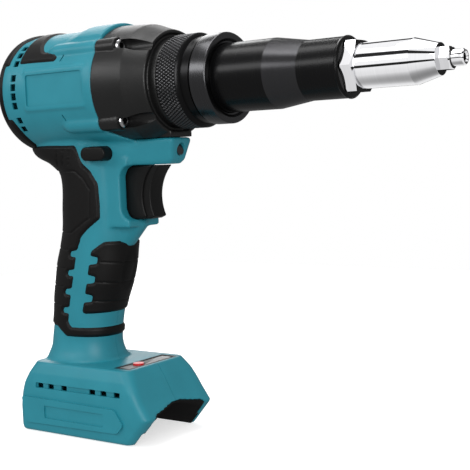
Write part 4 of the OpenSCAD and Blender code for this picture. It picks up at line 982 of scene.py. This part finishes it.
# Painted shade: a black sheet inside the dock darkens it where the shadow falls.
lining = make("dock_lining_painted_shade", dock(LINING_GAP, LINING_GAP))
combine(lining, [make("within", loft(BASE_SHARES, base_ring(-LINING_BACK), 96))], "INTERSECT")
combine(lining, [make("room", dock(LINING_INSIDE, LINING_INSIDE))])
place(soften(lining, 35), DARK)

# %% [markdown]
# ## Rubber grips
# The grips are rubber moulded over the housing, so they follow its surface and rise about a millimetre. Each
# one starts as a fine copy of that surface. Points outside its outline go, points inside rise along their
# normals with a soft shoulder, and grooves press in and get painted shade. A narrow rim stays low and is
# painted black, as painted shade for the thin gap round the real rubber. Just outside the outline the skin
# dips under the plastic, so the rim ends in a clean line however coarse the mesh is. The right half is made
# and mirrored for the left.

# %% Skins that rise from a surface
RISE, RIM, RIM_RISE, SHOULDER = 1.1, 0.5, 0.2, 1.2
# The rim fade sets how far the painted shade of the rim gap reaches in; the groove value sets how dark the
# painted shade in the grooves is.
DIP, MARGIN, RIM_SHADE_FADE, GROOVE_SHADE, SKIN_WALL = 0.7, 1.2, 0.4, 0.8, 0.9


def line_distance(x, z, line):
    """Distance from a point to a line of points in the side view."""
    best = math.inf
    for (ax, az), (bx, bz) in zip(line, line[1:]):
        dx, dz = bx - ax, bz - az
        t = max(0, min(1, ((x - ax) * dx + (z - az) * dz) / (dx * dx + dz * dz)))
        best = min(best, math.hypot(x - ax - t * dx, z - az - t * dz))
    return best


def inside_distance(x, z, outline):
    """Distance from a point to an outline in the side view, positive inside it."""
    loop = outline + outline[:1]
    crossed = [(az > z) != (bz > z) and x < ax + (z - az) / (bz - az) * (bx - ax)
               for (ax, az), (bx, bz) in zip(loop, loop[1:])]
    return line_distance(x, z, loop) if sum(crossed) % 2 else -line_distance(x, z, loop)


def ease(t):
    t = max(0.0, min(1.0, t))
    return t * t * (3 - 2 * t)


def rounded_outline(points, radius):
    """The points of an outline after its corners are rounded."""
    bm = outlined([(x, 0, z) for x, z in points], radius)
    bmesh.ops.remove_doubles(bm, verts=bm.verts[:], dist=0.02)
    bm.faces.ensure_lookup_table()
    result = [(v.co.x, v.co.z) for v in bm.faces[0].verts]
    bm.free()
    return result


def skin(name, bm, outline, lines=(), side=-1):
    """Keeps the part of a closed surface inside an outline, raises it and closes it as a thin shell."""
    edge = bm.verts.layers.float.new("edge")
    bmesh.ops.recalc_face_normals(bm, faces=bm.faces[:])
    caps = [f for f in bm.faces if len(f.verts) > 4]
    bmesh.ops.delete(bm, geom=caps, context="FACES")
    if side:
        bmesh.ops.delete(bm, geom=[v for v in bm.verts if v.co.y * side < -0.01], context="VERTS")
    depth = {v: inside_distance(v.co.x, v.co.z, outline) for v in bm.verts}
    outside = [f for f in bm.faces if max(depth[v] for v in f.verts) < -MARGIN]
    bmesh.ops.delete(bm, geom=outside, context="FACES")
    bm.normal_update()
    moves = []
    for v in bm.verts:
        height = max(-DIP, min(RIM_RISE, depth[v])) + (RISE - RIM_RISE) * ease((depth[v] - RIM) / SHOULDER)
        # Painted shade: the low rim is darkened as the shade in the thin gap round the rubber.
        v[edge] = 1 - ease((depth[v] - RIM) / RIM_SHADE_FADE)
        for line, deep, wide in lines:
            near = 1 - ease(line_distance(v.co.x, v.co.z, line) / wide)
            height -= deep * near * ease(depth[v] / SHOULDER)
            # Painted shade: the grooves are darkened where shade falls in them.
            v[edge] = max(v[edge], GROOVE_SHADE * near)
        moves.append((v, v.normal * height))
    for v, move in moves:
        v.co += move
    bmesh.ops.solidify(bm, geom=bm.faces[:], thickness=SKIN_WALL)
    return make(name, bm, 60)


def mirrored(obj, name):
    twin = copy_of(obj, name)
    twin.data.transform(Matrix.Scale(-1, 4, (0, 1, 0)))
    twin.data.flip_normals()
    return twin


print(f"rubber rises {RISE} mm")


# %% Grip outlines and grooves, as shares of the handle's half depth and of its height
def grip_points(shares):
    """Shares as places in the side view, which follow the lean of the handle."""
    heights = [BASE_H + s * HANDLE_RUN for _, s in shares]
    return [(handle_middle(z) + p * HANDLE_D / 2, z) for (p, _), z in zip(shares, heights)]


def teeth(edge, root, first, notch, count, pitch=0.09):
    """A row of notches down the edge of a grip, from the edge share back to the root share."""
    return [(p, first - i * pitch - q * notch) for i in range(count)
            for p, q in ((edge, 0), (root, 0.2), (root, 0.9), (edge, 1))]


REAR_SHARES = [(-2.2, 1.03), (0.36, 1.017), (0.43, 0.99), (0.36, 0.963), (0.24, 0.935), (0.34, 0.898),
               (0.47, 0.837), (0.50, 0.741), (0.50, 0.677), (0.19, 0.627), (0.03, 0.594), (-0.02, 0.545)]
REAR_SHARES += teeth(-0.05, -0.24, 0.530, 0.032, 4)
REAR_SHARES += [(-0.05, 0.189), (0.06, 0.163), (1.60, 0.163), (1.60, 0.115), (-0.06, 0.118), (-0.16, 0.130),
                (-0.42, 0.162), (-1.80, 0.170)]
FRONT_SHARES = [(1.60, 0.572), (0.62, 0.570), (0.36, 0.528)] + teeth(0.35, 0.54, 0.506, 0.042, 3)
FRONT_SHARES += [(0.33, 0.240), (0.39, 0.230), (1.60, 0.235)]
CREASE_SHARES = [(-1.3, 0.903), (-0.09, 0.900), (0.11, 0.866), (0.27, 0.815), (0.26, 0.682), (-0.28, 0.612),
                 (-1.3, 0.612)]
# Each groove is a line of shares, with its depth and width
REAR_LINES = [(CREASE_SHARES, 0.5, 0.8)]
REAR_LINES += [([(p, 0.997), (p - 0.35, 0.93)], 0.5, 0.6) for p in (-0.19, 0.01, 0.19)]
REAR_LINES += [([(-1.5, s), (-0.30, s)], 0.45, 0.8) for s in (0.533, 0.445, 0.357, 0.268)]
FRONT_LINES = [([(low, s + 0.008), (1.2, s - 0.006)], 0.45, 0.8)
               for low, s in ((0.62, 0.470), (0.56, 0.377), (0.52, 0.287))]
FRONT_LINES.append(([(0.94, 0.60), (0.97, 0.467), (0.96, 0.335), (0.90, 0.20)], 0.5, 0.8))
GRIP_ROUND, GRIP_HOLE_R = 1.2, 3.6
# Outline, grooves, and the handle's lowest and highest share and count of rows for the surface
GRIPS = {"rear_grip": (REAR_SHARES, REAR_LINES, (0.08, 1.06, 220)),
         "front_grip": (FRONT_SHARES, FRONT_LINES, (0.2, 0.62, 110))}
for name, (shares, lines, (low, high, count)) in GRIPS.items():
    surface = loft(handle_rows(count, low, high), handle_ring(0), 280)
    placed = [(grip_points(line), deep, wide) for line, deep, wide in lines]
    grip = skin("rubber_right_" + name, surface, rounded_outline(grip_points(shares), GRIP_ROUND), placed)
    twin = mirrored(grip, "rubber_left_" + name)
    combine(twin, [gather("holes", screw_holes(HOLE_Y, GRIP_HOLE_R))])
    place(soften(twin, 60), RUBBER, "left_" + name)
    place(grip, RUBBER, "right_" + name)

# %% Head pads and rear bumper
PAD_L = 64.0
PAD_SHARES = [(0.36, 0.465), (0.345, 1.10), (0.485, 1.10), (0.586, 0.735), (0.65, 0.63), (0.83, 0.61),
              (0.865, 0.535), (0.85, 0.45)]
# Distance from the rear end and height over the axis, down the front edge of the bumper and back behind it
BUMPER = [(10, 17), (14.2, 17), (14.8, 26), (15.3, 32), (18, 34), (18, 60), (-9, 60), (-9, -60), (18, -60),
          (18, -34), (17.6, -28.4), (16.5, -23), (14.2, -17), (10, -17)]
SURFACE_STEP = 0.7


def head_surface(front):
    """A fine copy of the rear of the head, with points close enough to raise."""
    arc = [(X_REAR + HEAD_ROUND * (1 - math.cos(t)), HEAD_R - HEAD_ROUND * (1 - math.sin(t)))
           for t in quarter_turn(36)]
    start = arc[-1][0]
    count = int((front - start) / SURFACE_STEP)
    run = [(start + (front - start) * (k + 1) / count, HEAD_R) for k in range(count)]
    flat = [(X_REAR, arc[0][1] * k / 12) for k in range(12)]
    return turned(flat + arc + run + [(front, 0)], 320)


outline = [(X_REAR + p * PAD_L, AXIS + q * HEAD_R) for p, q in PAD_SHARES]
pad = skin("rubber_right_head_pad", head_surface(X_CASE - 20), rounded_outline(outline, 1.5))
place(mirrored(pad, "rubber_left_head_pad"), RUBBER, "left_head_pad")
place(pad, RUBBER, "right_head_pad")
outline = rounded_outline([(X_REAR + d, AXIS + h) for d, h in BUMPER], 1.0)
place(skin("rubber_rear_bumper", head_surface(X_REAR + 24), outline, side=0), RUBBER, "rear_bumper")

# %% [markdown]
# ## Gear case
# The gear case is a casting: a drum that turns in to a front edge, four bars that hold its screws, and a flat
# foot over the front lip. The drum is spun, the bars are added, and a remesh gives all of them the soft
# corners that a casting has. A trough in front of each screw lets the key in, and it runs out to a point
# where the drum turns in. Each screw is turned, and its socket is cut with a six-sided bar.

# %% Gear case
X_NECK, X_GROOVE = X_RING - 4.2, X_RING + 16.6
X_SPIGOT = X_GROOVE - 4.3
X_GEARS, X_NUT_ROOM = -49.0, -33.0
SPIGOT_R, GEARS_R, NUT_ROOM_R, ROD_ROOM_R = 34.3, 29.1, 23.6, 16.1
NECK_R, MOUTH_R, MOUTH_DEPTH, SEAT_R, TUBE_R = 31.5, 29.5, 2.0, 27.0, 22.0
# Share of the drum's length, and its radius there
DRUM_SHARES = ((0, CASE_R), (0.22, 37.2), (0.6, 36.4), (0.8, 33.8), (1, NECK_R))
FOOT_Y, FOOT_Z0, FOOT_Z1 = 10.3, 186.4, 190.0
BAR_L, BAR_R, TROUGH_X, TROUGH_L, TROUGH_R, SHANK_BORE_R = 15.0, 5.6, 12.8, 30.0, 4.2, 2.3
CASE_VOXEL = 0.6


def gear_case():
    drum = [(X_CASE + share * (X_NECK - X_CASE), r) for share, r in DRUM_SHARES]
    mouth, rear = X_NECK - MOUTH_DEPTH, X_CASE - SPIGOT_L
    bores = [(X_NECK, MOUTH_R), (mouth, MOUTH_R), (mouth, SEAT_R), (X_RING, SEAT_R), (X_RING, TUBE_R),
             (X_SPIGOT, TUBE_R), (X_SPIGOT, ROD_ROOM_R), (X_NUT_ROOM, ROD_ROOM_R), (X_NUT_ROOM, NUT_ROOM_R),
             (X_GEARS, NUT_ROOM_R), (X_GEARS, GEARS_R), (rear, GEARS_R), (rear, SPIGOT_R)]
    parts = [make("drum", turned([(X_CASE, SPIGOT_R)] + drum + bores, 160, ring=True)),
             make("foot", block((X_CASE + 13.5, -FOOT_Y, FOOT_Z0), (X_RING - 3, FOOT_Y, FOOT_Z1)))]
    troughs, shanks = [], []
    for y, z in SCREWS:
        parts.append(make("bar", rod((X_CASE, y, z), BAR_L, BAR_R)))
        troughs.append(make("trough", rod((X_CASE + TROUGH_X, y, z), TROUGH_L, TROUGH_R)))
        shanks.append(make("shank", rod((X_CASE - 5, y, z), 20, SHANK_BORE_R)))
    under = [(X_CASE - 3, LIP_TOP + 6.2), (X_CASE + 0.2, LIP_TOP + 6.2), (X_CASE + 13.2, LIP_TOP + 0.2),
             (20, LIP_TOP + 0.2), (20, 100), (X_CASE - 3, 100)]
    case = remesh(gather("casting_gear_case", parts), CASE_VOXEL, 4)
    return combine(case, [make("under", prism(under, -FAR_Y, FAR_Y)), gather("troughs", troughs),
                          gather("shanks", shanks)])


SCREWS = [(sy * SCREW_Y, AXIS + sz * SCREW_Z) for sy in (-1, 1) for sz in (-1, 1)]
place(soften(gear_case(), 40), CAST, "gear_case")

# %% Case screws
SCREW_R, SHANK_R, X_SEAT = 3.9, 2.0, X_CASE + 14
SOCKET_R, SOCKET_X = 0.55 * SCREW_R, X_SEAT + 1.2


def case_screw(y, z):
    """A socket screw: a shank, and a head with a rounded rim and a six-sided socket."""
    profile = [(X_CASE - 3, 0), (X_CASE - 3, SHANK_R), (X_SEAT, SHANK_R), (X_SEAT, SCREW_R),
               (X_SEAT + 2, SCREW_R), (X_SEAT + 2.6, 0.9 * SCREW_R), (X_SEAT + 3, 0.7 * SCREW_R),
               (X_SEAT + 3, 0)]
    screw = make("screw", turned(profile, 48))
    combine(screw, [make("socket", rod((SOCKET_X, 0, AXIS), 3, SOCKET_R, sides=6))])
    screw.data.transform(Matrix.Translation(Vector((0, y, z - AXIS)) * MM))
    return screw


def in_socket(x, y, z):
    return x > X_SEAT + 1 and math.hypot(abs(y) - SCREW_Y, abs(z - AXIS) - SCREW_Z) < 0.95 * SOCKET_R


screws = gather("turned_case_screws", [case_screw(y, z) for y, z in SCREWS])
# Painted shade: the socket of each bright screw is given the black steel finish.
second_finish(place(soften(screws, 30), BRIGHT, "case_screws"), BLACK_STEEL_AND_SHADE, in_socket)

# %% [markdown]
# ## Front end
# Everything in front of the case is turned on a lathe, so each piece is a profile spun round the axis. The
# lock ring's knurl is real relief: its points move in and out where two sets of grooves cross, as a knurling
# tool rolls them, and an attribute paints shade into the grooves and darkens the ring's plain parts. The
# hexagons are six-sided bars cut by a spun chamfer, which gives their round corner arcs.

# %% Lock ring with a knurl
KNURLS, KNURL_DEPTH, KNURL_SLOPE, KNURL_FLAT = 84, 0.7, 1.6, 0.6
RING_R, RING_TUBE_R, RING_THREAD_R, RING_BORE_R = 28.0, 25.6, 22.1, 20.3
RING_ROWS, RING_PLAIN_DARK = 52, 0.85


def triangle(t):
    return 1 - abs(2 * (t - math.floor(t)) - 1)


def lock_ring():
    run = [(X_RING + 1.2 + (X_GROOVE - X_RING - 2.4) * k / RING_ROWS, RING_R) for k in range(RING_ROWS + 1)]
    bm = turned([(X_RING, RING_THREAD_R), (X_RING, RING_R - 1), (X_RING + 0.9, RING_R - 0.2)] + run
                + [(X_GROOVE - 0.9, RING_R - 0.2), (X_GROOVE, RING_R - 1), (X_GROOVE + 0.7, RING_TUBE_R),
                   (X_COLLAR, RING_TUBE_R), (X_COLLAR, RING_BORE_R), (X_GROOVE - 1.3, RING_BORE_R),
                   (X_GROOVE - 1.3, RING_THREAD_R)], 8 * KNURLS, ring=True)
    low, high = X_RING + 1.3, X_GROOVE - 1.3
    pitch = 2 * math.pi * RING_R / KNURLS * KNURL_SLOPE
    edge = bm.verts.layers.float.new("edge")
    for v in bm.verts:
        y, z = v.co.y, v.co.z - AXIS
        # The plain parts of the ring are darkened 85 per cent towards the dark groove colour.
        v[edge] = RING_PLAIN_DARK
        if low < v.co.x < high and math.hypot(y, z) > RING_R - 0.1:
            turn = KNURLS * math.atan2(y, z) / (2 * math.pi)
            rise = min(triangle(turn + v.co.x / pitch), triangle(turn - v.co.x / pitch), KNURL_FLAT)
            ridge = rise / KNURL_FLAT
            # Painted shade: the knurl's grooves are darkened, its ridges keep the steel colour.
            v[edge] = 1 - ridge
            shrink = 1 - KNURL_DEPTH * (1 - ridge) / RING_R
            v.co.y, v.co.z = y * shrink, AXIS + z * shrink
    return make("turned_lock_ring", bm, 30)


place(lock_ring(), KNURLED, "lock_ring")

# %% Collar and barrel
COLLAR_R, COLLAR_BORE_R, COLLAR_EDGE, COLLAR_LIP = 26.5, 20.1, 1.6, 0.6
COLLAR_DISH_R, COLLAR_DISH_LOW_R = 22.9, 21.4
X_DISH = X_BARREL - COLLAR_EDGE
collar = turned([(X_COLLAR, COLLAR_BORE_R), (X_COLLAR, COLLAR_R - COLLAR_EDGE),
                 (X_COLLAR + COLLAR_EDGE, COLLAR_R), (X_BARREL - COLLAR_LIP, COLLAR_R),
                 (X_BARREL, COLLAR_R - COLLAR_LIP), (X_BARREL, COLLAR_DISH_R), (X_DISH, COLLAR_DISH_LOW_R),
                 (X_DISH, COLLAR_BORE_R)], 160, 0.4, ring=True)
place(make("turned_collar", collar), POLISHED, "collar")

BARREL_R, BARREL_FRONT_R, BEAD_R, FLANGE_R, FLANGE_L = 20.0, 16.7, 17.2, 21.9, 3.0
GUIDE_R, X_GUIDE, NOSE_BORE_R, THREAD_L = 10.7, 33.0, 12.0, 7.0
BARREL_L = X_NUT - X_BARREL
X_CONE0, X_CONE1 = X_BARREL + 0.42 * BARREL_L, X_BARREL + 0.68 * BARREL_L
CONE_MARGIN = 0.01 * BARREL_L
barrel = turned([(X_SPIGOT, ROD_ROOM_R), (X_SPIGOT, FLANGE_R), (X_SPIGOT + FLANGE_L, FLANGE_R),
                 (X_SPIGOT + FLANGE_L, BARREL_R), (X_CONE0, BARREL_R), (X_CONE1, BARREL_FRONT_R),
                 (X_NUT - 2.2, BARREL_FRONT_R), (X_NUT - 1.2, BEAD_R), (X_NUT, BEAD_R - 1),
                 (X_NUT, NOSE_BORE_R), (X_NUT - THREAD_L, NOSE_BORE_R), (X_NUT - THREAD_L, GUIDE_R),
                 (X_GUIDE, GUIDE_R), (X_GUIDE, ROD_ROOM_R)], 160, 0.3, ring=True)


# The cone's lighter steel is partly a ground finish and partly a painted highlight, which stands in for a
# soft box's reflection.
def on_cone(x, y, z):
    return X_CONE0 + CONE_MARGIN < x < X_CONE1 - CONE_MARGIN and math.hypot(y, z - AXIS) > 16


barrel = place(make("turned_barrel", barrel, 12), BLACK_STEEL_AND_SHADE, "barrel")
second_finish(barrel, CONE_STEEL_HIGHLIGHT, on_cone)

# %% Sleeve, jam nut and nosepiece
SLEEVE_R, SLEEVE_ROOT_R, SLEEVE_BORE_R, SLEEVE_END_R, NOSE_SEAT_R = 12.3, 11.9, 9.7, 8.5, 4.8
NOSE_SEAT_L, SLEEVE_CONE_L, TIP_L = 6.0, 13.0, 6.8
NUT_AF, HEX_AF = 27.0, 11.6
STEM_R, TIP_R, TIP_EDGE, NOSE_HOLE_R, NOSE_HOLE_EDGE_R = 4.7, 4.35, 0.8, 2.1, 3.2
X_TIP = X_END - TIP_L
X_THREAD, X_NOSE_SEAT = X_NUT - THREAD_L, X_HEX - NOSE_SEAT_L
sleeve = turned([(X_THREAD, SLEEVE_BORE_R), (X_THREAD, SLEEVE_ROOT_R), (X_SLEEVE, SLEEVE_ROOT_R),
                 (X_SLEEVE, SLEEVE_R), (X_HEX - SLEEVE_CONE_L, SLEEVE_R), (X_HEX, SLEEVE_END_R),
                 (X_HEX, NOSE_SEAT_R), (X_NOSE_SEAT, NOSE_SEAT_R), (X_NOSE_SEAT, SLEEVE_BORE_R)],
                128, 0.15, ring=True)
place(make("turned_nose_sleeve", sleeve, 12), CHROME, "nose_sleeve")


def hexagon(name, x0, x1, across, chamfer):
    """A six-sided bar, cut by a spun chamfer given from the hexagon's corner radius."""
    bar = make(name, rod((x0, 0, AXIS), x1 - x0, across / math.sqrt(3), sides=6))
    return combine(bar, [make("chamfer", turned(chamfer(across / math.sqrt(3)), 96))], "INTERSECT")


nut = hexagon("turned_jam_nut", X_NUT, X_SLEEVE, NUT_AF, lambda corner: [
    (X_NUT, 0), (X_NUT, NUT_AF / 2), (X_NUT + 1, corner + 0.1), (X_SLEEVE - 1, corner + 0.1),
    (X_SLEEVE, NUT_AF / 2), (X_SLEEVE, 0)])
combine(nut, [make("bore", rod((X_NUT - 1, 0, AXIS), 20, NOSE_BORE_R, sides=96))])
place(soften(nut, 25), CHROME, "jam_nut")

nose = hexagon("turned_nosepiece", X_HEX, X_TIP, HEX_AF, lambda corner: [
    (X_HEX, 0), (X_HEX, corner), (X_TIP - 1.2, corner + 0.1), (X_TIP, HEX_AF / 2 - 0.4), (X_TIP, 0)])
stem = turned([(X_HEX - 7, 0), (X_HEX - 7, STEM_R), (X_TIP - 0.5, STEM_R), (X_TIP - 0.5, TIP_R),
               (X_END - TIP_EDGE, TIP_R), (X_END, TIP_R - 0.75), (X_END, 0)], 96, 0.1)
bore = turned([(X_HEX - 9, 0), (X_HEX - 9, NOSE_HOLE_R), (X_END - 0.9, NOSE_HOLE_R),
               (X_END + 0.3, NOSE_HOLE_EDGE_R), (X_END + 0.3, 0)], 96)
combine(nose, [make("stem", stem)], "UNION")
combine(nose, [make("bore", bore)])
nose = place(soften(nose, 25), CHROME, "nosepiece")
# Painted shade: the inside of the nose bore is given the black steel finish.
second_finish(nose, BLACK_STEEL_AND_SHADE, lambda x, y, z: math.hypot(y, z - AXIS) < NOSE_HOLE_R + 0.1)

# %% [markdown]
# ## Controls
# The trigger has a broad root that slides in the housing and a narrower front that curves to the finger.
# Both are extruded side views with rounded edges. The direction button runs right through the handle, and
# the display panel is a black frame round a grey field, left blank.

# %% Trigger
PLUNGER_L, PLUNGER_R = 14.4, 3.0
X_TRIGGER, X_FINGER = span("trigger", 0)[0] + PLUNGER_L, span("trigger", 0)[1]
DISH_R, DISH_DEPTH, DISH_Z = 26.6, 8.0, TRIGGER_Z + 0.4 * TRIGGER_H
ROOT_Y, ROOT_BACK, FRONT_Y, TOE_L = 7.5, 5.5, 6.2, 24.6


def trigger():
    top, low = TRIGGER_Z + TRIGGER_H, TRIGGER_Z
    centre = X_FINGER + DISH_R - DISH_DEPTH
    toe = X_TRIGGER + TOE_L

    def curve(offset, count=20):
        zs = [low + 1.5 + (top - low - 1.5) * k / count for k in range(count + 1)]
        return [(centre - offset - math.sqrt(DISH_R ** 2 - (z - DISH_Z) ** 2), z) for z in zs]

    back = [(X_TRIGGER, top), (X_TRIGGER, low + 3), (X_TRIGGER + 3, low)]
    wide = prism(back + [(toe - 8, low)] + curve(ROOT_BACK), -ROOT_Y, ROOT_Y)
    slim = prism(back + [(toe - 3, low)] + curve(0), -FRONT_Y, FRONT_Y)
    plunger = rod((X_TRIGGER - PLUNGER_L, 0, TRIGGER_Z + TRIGGER_H / 2), 16, PLUNGER_R)
    return combine(make("moulded_trigger", bevelled(slim, 2.0, 4)),
                   [make("root", bevelled(wide, 0.9)), make("plunger", plunger)], "UNION")


place(soften(trigger(), 35), DARK, "trigger", "trigger")

# %% Direction button and display panel
DIRECTION_REACH = span("direction_button", 1)[1]
button = bevelled(stadium(*DIRECTION, -DIRECTION_REACH, DIRECTION_REACH), 1.1, 4)
place(make("moulded_direction_button", button, 40), DARK, "direction_button", "direction")

FRAME_X, FRAME_Y, FRAME_DEPTH, FIELD_WALL, MODE_HOLE_R = 2.0, 2.2, 0.5, 0.3, 3.7


def display_field(below, above):
    """The room inside the panel's frame, between two heights over or under its top."""
    return block((PANEL_LOW.x + FRAME_X, PANEL_LOW.y + FRAME_Y, PANEL_HIGH.z + below),
                 (PANEL_HIGH.x - FRAME_X, PANEL_HIGH.y - FRAME_Y, PANEL_HIGH.z + above))


def mode_hole():
    middle = [sum(span("mode_button", axis)) / 2 for axis in (0, 1)]
    return make("hole", rod((*middle, PANEL_LOW.z - 1), 6, MODE_HOLE_R, along="Z"))


panel = make("moulded_display_panel", bevelled(block(PANEL_LOW, PANEL_HIGH), 0.3, 2))
combine(panel, [make("room", display_field(-FRAME_DEPTH, 1)), mode_hole()])
place(panel, DARK, "display_panel")
field = make("printed_display_field", display_field(-FRAME_DEPTH - 0.1, -FIELD_WALL))
place(combine(field, [mode_hole()]), GREY)

# %% [markdown]
# ## Return spring
# A small spring pushes the jaws forward. A circle that spins round the axis and steps forward as it turns
# makes the coil. It spans the length of the CAD spring, between the pull rod and the pusher.

# %% Coil
SPRING_WIRE, SPRING_TURNS, WIRE_SIDES = 1.1, 4, 12
SPRING_LOW, SPRING_HIGH = (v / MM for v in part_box("jaw_spring"))


def coil():
    r = (SPRING_HIGH.y - SPRING_LOW.y - SPRING_WIRE) / 2
    start = Vector((SPRING_LOW.x + SPRING_WIRE / 2, 0, AXIS + r))
    steps = 36 * SPRING_TURNS
    bm = bmesh.new()
    bmesh.ops.create_circle(bm, segments=WIRE_SIDES, radius=SPRING_WIRE / 2,
                            matrix=Matrix.Translation(start) @ Matrix.Rotation(math.pi / 2, 4, "X"))
    bmesh.ops.spin(bm, geom=bm.verts[:] + bm.edges[:], cent=(0, 0, AXIS), axis=(1, 0, 0), steps=steps,
                   angle=2 * math.pi * SPRING_TURNS,
                   dvec=((SPRING_HIGH.x - SPRING_LOW.x - SPRING_WIRE) / steps, 0, 0))
    bmesh.ops.holes_fill(bm, edges=[e for e in bm.edges if e.is_boundary], sides=WIRE_SIDES)
    return make("wound_jaw_spring", bm)


spring = coil()
spring.data.materials.append(STEEL)
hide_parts("jaw_spring")
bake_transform(spring)
print(f"coil: {len(spring.data.polygons)} faces between pull and pusher")

# %% [markdown]
# ## Inner pieces
# The motor, the gears, the jaws and the screws stay as the CAD made them, because they are machined pieces
# with plain faces. Each one gets the finish that its material has on the real tool.

# %% Finishes for the pieces that stay as they are
INNER = ((BRONZE, "guide_bush"), (COPPER, "stator"), (BOARD, "control_board"),
         (RED, "mode_button"), (LENS, "led_lens"), (GOLD, "terminal_blades"), (CAST, "motor_plate"),
         (DARK, "fan switch_body terminal_block"))
for obj in frame["nodes"].values():
    obj.data.materials.clear()
    obj.data.materials.append(STEEL)
for mat, names in INNER:
    for name in names.split():
        frame["nodes"][name].data.materials[0] = mat
print("CAD nodes with a finish:", len(frame["nodes"]))
